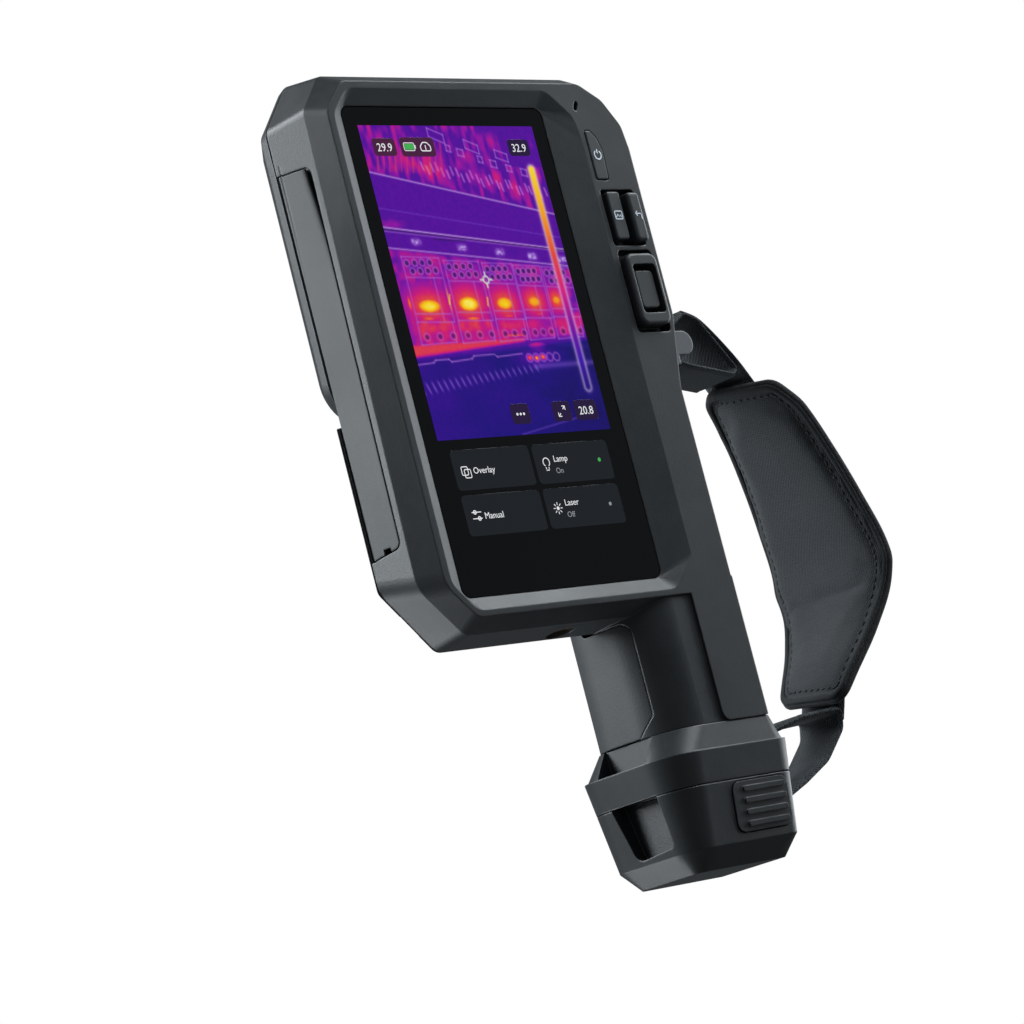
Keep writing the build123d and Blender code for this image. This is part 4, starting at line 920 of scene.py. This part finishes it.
def makeDisplayMarks(look):
    thick, thin = look["inkHeight"], look["iconStroke"]
    showPiece("displayTiles", [tile(*place, 1.4) for place in look["tiles"]], 0, "tileGrey", 0.02)
    showPiece("warmPills", pills(look["warmPills"]), 0, "pillMaroon", 0.02)
    showPiece("coolPills", pills(look["coolPills"]), 0, "pillNavy", 0.02)
    marks = []
    for text, u, v in look["readings"]:
        x, z = screenPoint(u, v)
        marks.append(wording(text, look["readingCap"], x, z - look["readingCap"] / 2, thick, "CENTER"))
    x, z = screenPoint(*look["dots"])
    marks += [dot(x + k, z, 0.4) for k in (-1.3, 0.0, 1.3)]
    x, z = screenPoint(*look["arrows"])
    for s in (1, -1):
        marks.append(stroke([(x + 0.35 * s, z + 1.5 * s), (x + 1.5 * s, z + 1.5 * s), (x + 1.5 * s, z + 0.35 * s)]))
        marks.append(stroke([(x + 0.6 * s, z + 0.6 * s), (x + 1.4 * s, z + 1.4 * s)]))
    x, z = screenPoint(*look["cloud"])
    marks.append(stroke(roundedPath([(x - 1.9, z - 1.1), (x - 1.9, z + 0.3), (x - 0.8, z + 1.4), (x + 0.8, z + 1.4),
                                     (x + 1.9, z + 0.3), (x + 1.9, z - 1.1)], [0.5] * 6, 0.25)[0], 0.32, True))
    marks.append(stroke([(x, z - 0.8), (x, z + 0.6)]))
    x, z = screenPoint(*look["battery"])                                   # its outline and its tip
    marks.append(stroke(roundBox(x - 2.0, z + 1.15, 4.0, 2.3, 0.4, 0.25), 0.22, True))
    marks.append(stroke([(x + 2.35, z - 0.5), (x + 2.35, z + 0.5)]))
    for text, x, z in look["words"]:
        marks.append(wording(text, look["cap"], x, z - look["cap"] / 2 + 0.3, thick))
    x, z = look["overlayIcon"]                                             # two frames
    marks += [stroke(roundBox(x - 1.6, z + 1.2, 2.4, 2.4, 0.4, 0.25), thin, True),
              stroke(roundBox(x - 0.6, z + 0.4, 2.4, 2.4, 0.4, 0.25), thin, True)]
    x, z = look["sliderIcon"]
    for dz, knob in ((0.9, -0.6), (-0.9, 0.7)):
        marks += [stroke([(x - 1.8, z + dz), (x + 1.8, z + dz)], thin),
                  stroke(circle(x + knob, z + dz, 0.5, 16), look["stroke"], True)]
    x, z = look["bulbIcon"]                                                # bulb, neck and foot
    marks += [stroke(circle(x, z + 0.4, 1.25, 20, -1.0, 4.14), 0.28),
              stroke([(x - 0.55, z - 1.0), (x - 0.55, z - 1.6)], thin),
              stroke([(x + 0.55, z - 1.0), (x + 0.55, z - 1.6)], thin),
              stroke([(x - 0.6, z - 1.9), (x + 0.6, z - 1.9)], thin)]
    x, z = look["raysIcon"]
    marks.append(dot(x, z, 0.55))
    for k in range(8):
        c, s = math.cos(k * math.pi / 4), math.sin(k * math.pi / 4)
        marks.append(stroke([(x + 0.95 * c, z + 0.95 * s), (x + 1.75 * c, z + 1.75 * s)], 0.24))
    showPiece("displayInk", marks, look["tileHeight"], "inkWhite", 0.04)
    states = [wording(text, look["stateCap"], x, z, thick) for text, x, z in look["states"]]
    showPiece("displayInkGrey", states + [dot(*look["greyDot"])], look["tileHeight"], "inkGrey", 0.04)
    x, z = screenPoint(*look["battery"])                                   # the battery's charge
    charge = flatPlate(roundBox(x - 1.7, z + 0.85, 3.4, 1.7, 0.25, 0.25), thick, edge=0.01)
    showPiece("displayInkGreen", [charge, dot(*look["greenDot"])], look["tileHeight"], "inkGreen", 0.04)


makeDisplayMarks(display)


keyInk = gloss("keyInk", (0.60, 0.66, 0.74), rough=0.4, smear=0.15)
keySymbols = {"height": 0.12, "sink": 0.02, "stroke": 0.42, "frame": 0.34, "hills": 0.3, "arrow": 0.36}


def keyMiddle(node):
    # the middle of the key's face, and how far forward it stands
    low, high = (np.array(corner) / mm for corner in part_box(node))
    return (low[0] + high[0]) / 2, (low[2] + high[2]) / 2, low[1]


def keyPiece(name, key, strokes):
    # each stroke is a line round the key's middle, its width, and whether it closes
    x, z, front = keyMiddle(key)
    shapes = [standUp(strokeBand(np.asarray(line, float) + (x, z), width, keySymbols["height"], closed),
                      front + keySymbols["sink"]) for line, width, closed in strokes]
    addPiece(name, *joinShapes(shapes), keyInk, key, "key", False)


def makeKeySymbols(look):
    # a ring open at the top round a bar; a frame with hills; an arrow that turns back
    keyPiece("powerSymbol", "power_button",
             [(circle(0, 0, 1.35, 28, math.pi * 0.5 + 0.6, math.pi * 2.5 - 0.6), look["stroke"], False),
              ([(0, 0.4), (0, 1.7)], look["stroke"], False)])
    keyPiece("gallerySymbol", "gallery_button",
             [(roundBox(-1.5, 1.2, 3.0, 2.4, 0.4, 0.25), look["frame"], True),
              ([(-1.2, -0.7), (-0.4, 0.2), (0.2, -0.5), (0.7, 0), (1.2, -0.7)], look["hills"], False)])
    keyPiece("backSymbol", "back_button",
             [([(1.2, -1.0), (1.2, 0.3), (0.8, 0.7), (-1.1, 0.7)], look["arrow"], False),
              ([(-0.4, 1.4), (-1.15, 0.7), (-0.4, 0)], look["arrow"], False)])


makeKeySymbols(keySymbols)
print("marks and symbols ready")


webbing = {
    "wide": 17.6, "thick": 1.9, "step": 0.7, "selvedge": 0.35, "sectionPoints": 44,
    "backRange": (137, 58, 40), "backGap": 0.5, "easing": 12,        # top, foot and count of the points on the pad
    "backStart": [(41.0, 164.6), (46.5, 163.0), (53.0, 156.5), (59.5, 149.0)],
    "backEnd": [(69.5, 51.0), (66.8, 44.0), (63.5, 37.0)],
    "loops": {
        "strap_upper": ([(28.6, 150.0), (29.2, 158.6), (41.0, 165.5), (47.0, 163.0), (59.5, 146.5), (56.5, 143.8),
                         (40.0, 147.0)], [3.4, 3.4, 4, 4, 1.9, 1.9, 6]),
        "strap_lower": ([(21.6, 20.2), (21.6, 36.0), (46.0, 40.6), (65.4, 41.6), (63.2, 34.0), (53.5, 25.6),
                         (42.0, 20.4), (29.0, 15.6)], [3.0, 3.0, 8, 2.4, 6, 8, 8, 4]),
    },
}


def threadLayer(made, across, along):
    # surface coordinates in metres, read by the cloth materials
    layer = made.data.attributes.new("threads", "FLOAT_VECTOR", "POINT")
    values = np.column_stack([across, along, np.zeros(len(across))]) * mm
    layer.data.foreach_set("vector", values.ravel())


def bandSection(look):
    # a superellipse |y/half|^5 + |d/(thick/2)|^2 = 1 with a slightly thicker selvedge
    a = np.linspace(0, 2 * math.pi, look["sectionPoints"], endpoint=False)
    half = look["wide"] / 2
    y = half * np.sign(np.cos(a)) * np.abs(np.cos(a)) ** 0.4
    d = look["thick"] / 2 * np.sin(a) * (1 + look["selvedge"] * np.exp(-((np.abs(y) - half + 1.3) / 0.5) ** 2))
    return y, d


def carryBand(line, side, y, d):
    # point = line + side * depth of the section, and y = across the width
    across = line[:, None, :] + d[None, :, None] * side[:, None, :]
    return np.stack([across[..., 0], np.broadcast_to(y, across.shape[:2]), across[..., 1]], axis=-1).reshape(-1, 3)


def inwardWay(line):
    # a closed line's directions turned a quarter, towards its middle on the whole
    way = alongLine(line)
    inward = np.column_stack([-way[:, 1], way[:, 0]])
    return inward * np.sign(np.sum(inward * (line.mean(axis=0) - line)))


def insetLine(line, distance):
    return line + inwardWay(line) * distance


def makeWebbing(name, look, material):
    # the flat section carried round the loop's line, just inside it
    corners, radii = look["loops"][name]
    line, length = roundedPath(corners, radii, look["step"])
    y, d = bandSection(look)
    points = carryBand(line, inwardWay(line), y, look["thick"] / 2 + d)
    rows, count = len(line), look["sectionPoints"]
    faces = gridFaces(rows, count, True, True)
    made = addPiece(name.replace("strap_", "webbing_"), points, faces, material, "body", "webbing")
    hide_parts(name)
    threadLayer(made, np.tile(y, rows), np.repeat(np.arange(rows) * length / rows, count))


webbingCloth = wovenCloth("webbingCloth", (0.026, 0.0292, 0.0325), (0.072, 0.080, 0.088), 9000.0, 5200.0, 0.00012,
                          sheen=0.12)
for loopName in webbing["loops"]:
    makeWebbing(loopName, webbing, webbingCloth)


pad = {
    "middle": [(57.6, 143.4), (67.0, 130.5), (73.1, 115.0), (77.3, 100.0), (80.2, 85.0), (79.0, 75.0), (72.0, 63.0),
               (61.0, 50.0), (54.2, 41.8)],
    "outline": [(8.5, 143.2), (12.2, 131.0), (18.9, 81.0), (9.0, 46.0), (-17.0, 42.0), (-27.9, 81.0), (-21.2, 131.0),
                (-17.5, 139.0)],
    "radii": [6, 12, 10, 5, 5, 10, 12, 5],
    "thick": 4.8, "formInset": 0.2, "rings": 26, "voxel": 1.7, "pressure": 4.0, "cap": 0.8,
    "frames": 20, "outlineStep": 0.8, "formStep": 1.6, "fill": 0.55,
    "seamInset": 3.3, "seamDepth": 0.45, "seamWide": 0.9, "weltWide": 0.95, "weltPoints": 12,
    "welts": [(-0.3, 1.15, 0.7), (1.3, 0.8, 1.4)],    # lift, inset and half height of each welt
    "stitchPitch": 2.5, "stitchLong": 1.6, "stitchRound": 0.40, "stitchFlat": 0.7, "stitchPoints": 6,
}


def padCurve(look, z):
    # x of the pad's middle at height z, and the outward normal there: a smooth curve through the listed points
    points = np.array(look["middle"])[::-1]
    chord = np.concatenate([[0], np.cumsum(np.linalg.norm(np.diff(points, axis=0), axis=1))])
    slope = np.gradient(points, chord, axis=0)
    t = np.linspace(0, chord[-1], 600)
    i = np.clip(np.searchsorted(chord, t, side="right") - 1, 0, len(chord) - 2)
    h = chord[i + 1] - chord[i]
    s = ((t - chord[i]) / h)[:, None]
    h = h[:, None]
    fine = ((2 * s ** 3 - 3 * s ** 2 + 1) * points[i] + (s ** 3 - 2 * s ** 2 + s) * h * slope[i]
            + (-2 * s ** 3 + 3 * s ** 2) * points[i + 1] + (s ** 3 - s ** 2) * h * slope[i + 1])
    x = np.interp(z, fine[:, 1], fine[:, 0])
    dx = np.interp(z, fine[:, 1], np.gradient(fine[:, 0], fine[:, 1]))
    size = np.hypot(1, dx)
    run = np.interp(z, fine[:, 1], np.concatenate([[0], np.cumsum(np.hypot(*np.diff(fine, axis=0).T))]))
    return x, 1 / size, -dx / size, run


def onPad(look, flat, height):
    # flat (y, z) points lifted by height along the curve's normal
    x, nx, nz, _ = padCurve(look, flat[:, 1])
    return np.column_stack([x + nx * height, flat[:, 0], flat[:, 1] + nz * height])


def makeBackWebbing(look, padLook, material):
    # the same section carried down the pad's outer face, from the upper loop to the lower one
    z = np.linspace(*look["backRange"])
    x, nx, nz, _ = padCurve(padLook, z)
    lift = padLook["thick"] / 2 + look["thick"] / 2 + look["backGap"]
    line = np.concatenate([look["backStart"], np.column_stack([x + nx * lift, z + nz * lift]), look["backEnd"]])
    lengths = np.concatenate([[0], np.cumsum(np.linalg.norm(np.diff(line, axis=0), axis=1))])
    even = np.arange(0, lengths[-1], look["step"])
    line = np.stack([np.interp(even, lengths, line[:, k]) for k in range(2)], axis=1)
    for _ in range(look["easing"]):                # eases the joins: each point moves to its neighbours' mean
        line[1:-1] = (line[:-2] + line[2:]) / 2
    way = alongLine(line, False)
    y, d = bandSection(look)
    points = carryBand(line, np.column_stack([-way[:, 1], way[:, 0]]), y, d)
    count = look["sectionPoints"]
    made = addPiece("webbing_back", points, tubeFaces(len(line), count), material, "body", "webbing")
    threadLayer(made, np.tile(y, len(line)), np.repeat(even, count))


def padForm(look):
    # rings from the middle to the outline at fraction f, lifted by half*(1-f^7)^0.5 on one face and sunk on the other
    outline = insetLine(roundedPath(look["outline"], look["radii"], look["formStep"])[0], look["formInset"])
    middle = outline.mean(axis=0)
    f = np.sin(np.linspace(0.04, 1, look["rings"]) * math.pi / 2)
    half = look["thick"] / 2
    sheets = []
    for side in (-1, 1):
        for share in (f if side < 0 else f[-2::-1]):
            lift = side * half * math.sqrt(max(0.0, 1 - share ** 7))
            sheets.append(onPad(look, middle + (outline - middle) * share, np.full(len(outline), lift)))
    poles = onPad(look, np.repeat(middle[None], 2, axis=0), np.array([-half, half]))
    return np.concatenate(sheets + [poles]), shellFaces(len(sheets), len(outline))


def bakeModifiers(made):
    # replaces the mesh by what its modifiers make of it
    seen = made.evaluated_get(bpy.context.evaluated_depsgraph_get())
    mesh = bpy.data.meshes.new_from_object(seen)
    made.modifiers.clear()
    made.data = mesh


def swell(made, look):
    # even square faces, then cloth under pressure without gravity; no point moves further than the cap
    remesh = made.modifiers.new("even", "REMESH")
    remesh.mode = "VOXEL"
    remesh.voxel_size = look["voxel"] * mm
    bakeModifiers(made)
    start = readPoints(made.data)
    cloth = made.modifiers.new("cloth", "CLOTH")
    cloth.settings.use_pressure = True
    cloth.settings.uniform_pressure_force = look["pressure"]
    cloth.settings.effector_weights.gravity = 0
    for step in range(look["frames"]):
        bpy.context.scene.frame_set(step + 1)
    seen = made.evaluated_get(bpy.context.evaluated_depsgraph_get())
    moved = readPoints(seen.data) - start
    far = np.linalg.norm(moved, axis=1, keepdims=True)
    moved *= np.minimum(1, look["cap"] * mm / np.maximum(far, 1e-9))
    made.modifiers.clear()
    bpy.context.scene.frame_set(1)
    made.data.vertices.foreach_set("co", (start + moved).ravel())
    made.data.update()


def pressSeam(made, look, outline):
    # the sewn line presses a groove: each point sinks by depth*exp(-((edge distance - inset)/width)^2)
    points = readPoints(made.data) / mm
    x, nx, nz, run = padCurve(look, points[:, 2])
    flat = points[:, 1:]
    gap = np.min(np.hypot(flat[:, None, 0] - outline[None, ::2, 0], flat[:, None, 1] - outline[None, ::2, 1]), axis=1)
    side = np.sign((points[:, 0] - x) * nx)
    sink = look["seamDepth"] * np.exp(-((gap - look["seamInset"]) / look["seamWide"]) ** 2) * side
    points[:, 0] -= nx * sink
    points[:, 2] -= nz * sink
    made.data.vertices.foreach_set("co", (points * mm).ravel())
    made.data.polygons.foreach_set("use_smooth", np.ones(len(made.data.polygons), bool))
    threadLayer(made, points[:, 1], run)
    made.data.update()


def makeBinding(look, outline, tape):
    # the bound edge: two round welts side by side, each a circle carried round the outline
    rows, count = len(outline), look["weltPoints"]
    a = np.linspace(0, 2 * math.pi, count, endpoint=False)
    welts = []
    for lift, inset, size in look["welts"]:
        line = insetLine(outline, inset)
        ring = line[:, None, :] - inwardWay(line)[:, None, :] * (look["weltWide"] * np.cos(a))[None, :, None]
        lifts = np.broadcast_to(lift + size * np.sin(a), (rows, count)).ravel()
        welts.append((onPad(look, ring.reshape(-1, 2), lifts), gridFaces(rows, count, True, True)))
    made = addPiece("padBinding", *joinShapes(welts), tape, "body", "webbing")
    run = np.repeat(np.arange(rows) * look["outlineStep"], count)
    threadLayer(made, np.tile(a * 1.4, rows * len(welts)), np.tile(run, len(welts)))


def makeStitches(made, look, thread):
    # short round-ended dashes laid on both faces along the sewn line:
    # point = middle + lengthways * place + (sideways * cos + flattened normal * sin) * girth
    finder = BVHTree.FromObject(made, bpy.context.evaluated_depsgraph_get())
    line = insetLine(roundedPath(look["outline"], look["radii"], look["stitchPitch"])[0], look["seamInset"])
    way = alongLine(line)
    count = look["stitchPoints"]
    ends = np.linspace(-1, 1, count)
    girth = (look["stitchRound"] * np.sqrt(np.maximum(0.06, 1 - ends ** 4)))[:, None, None]
    around = np.linspace(0, 2 * math.pi, count, endpoint=False)[None, :, None]
    dashes = []
    for i in range(len(line)):
        x, nx, nz, _ = padCurve(look, line[i:i + 1, 1])
        normal = np.array([nx[0], 0, nz[0]])
        base = np.array([x[0], line[i, 0], line[i, 1]])
        lengthways = np.array([0, way[i, 0], way[i, 1]]) - normal * (normal[2] * way[i, 1])
        lengthways /= np.linalg.norm(lengthways)
        sideways = np.cross(normal, lengthways)
        ring = (np.cos(around) * sideways + np.sin(around) * normal * look["stitchFlat"]) * girth
        for side in (-1, 1):
            hit = finder.ray_cast(Vector((base + normal * 12 * side) * mm), Vector(-normal * side))[0]
            if hit is not None:
                points = np.array(hit) / mm + (ends * look["stitchLong"] / 2)[:, None, None] * lengthways + ring
                dashes.append((points.reshape(-1, 3), tubeFaces(count, count)))
    addPiece("padStitches", *joinShapes(dashes), thread, "body", "webbing")


def makePad(look, cloth, tape, thread):
    made = addPiece("handPad", *padForm(look), cloth, "body", "pad")
    swell(made, look)
    finer = made.modifiers.new("finer", "SUBSURF")
    finer.levels = finer.render_levels = 1
    bakeModifiers(made)
    outline = roundedPath(look["outline"], look["radii"], look["outlineStep"])[0]
    pressSeam(made, look, outline)
    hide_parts("strap_pad")
    makeBinding(look, outline, tape)
    makeStitches(made, look, thread)


padCloth = wovenCloth("padCloth", (0.018, 0.0202, 0.0225), (0.050, 0.0555, 0.061), 9500.0, 9500.0, 0.00006,
                      sheen=0.12)
tapeCloth = wovenCloth("tapeCloth", (0.010, 0.0113, 0.0127), (0.028, 0.031, 0.034), 6500.0, 9000.0, 0.00006,
                       sheen=0.1)
stitchThread = mouldedPlastic("stitchThread", (0.006, 0.006, 0.007), (0.012, 0.012, 0.013), rough=(0.6, 0.8), wear=0,
                              dust=0.0)
makePad(pad, padCloth, tapeCloth, stitchThread)
makeBackWebbing(webbing, pad, webbingCloth)
print("strap ready")


print("pieces finished")
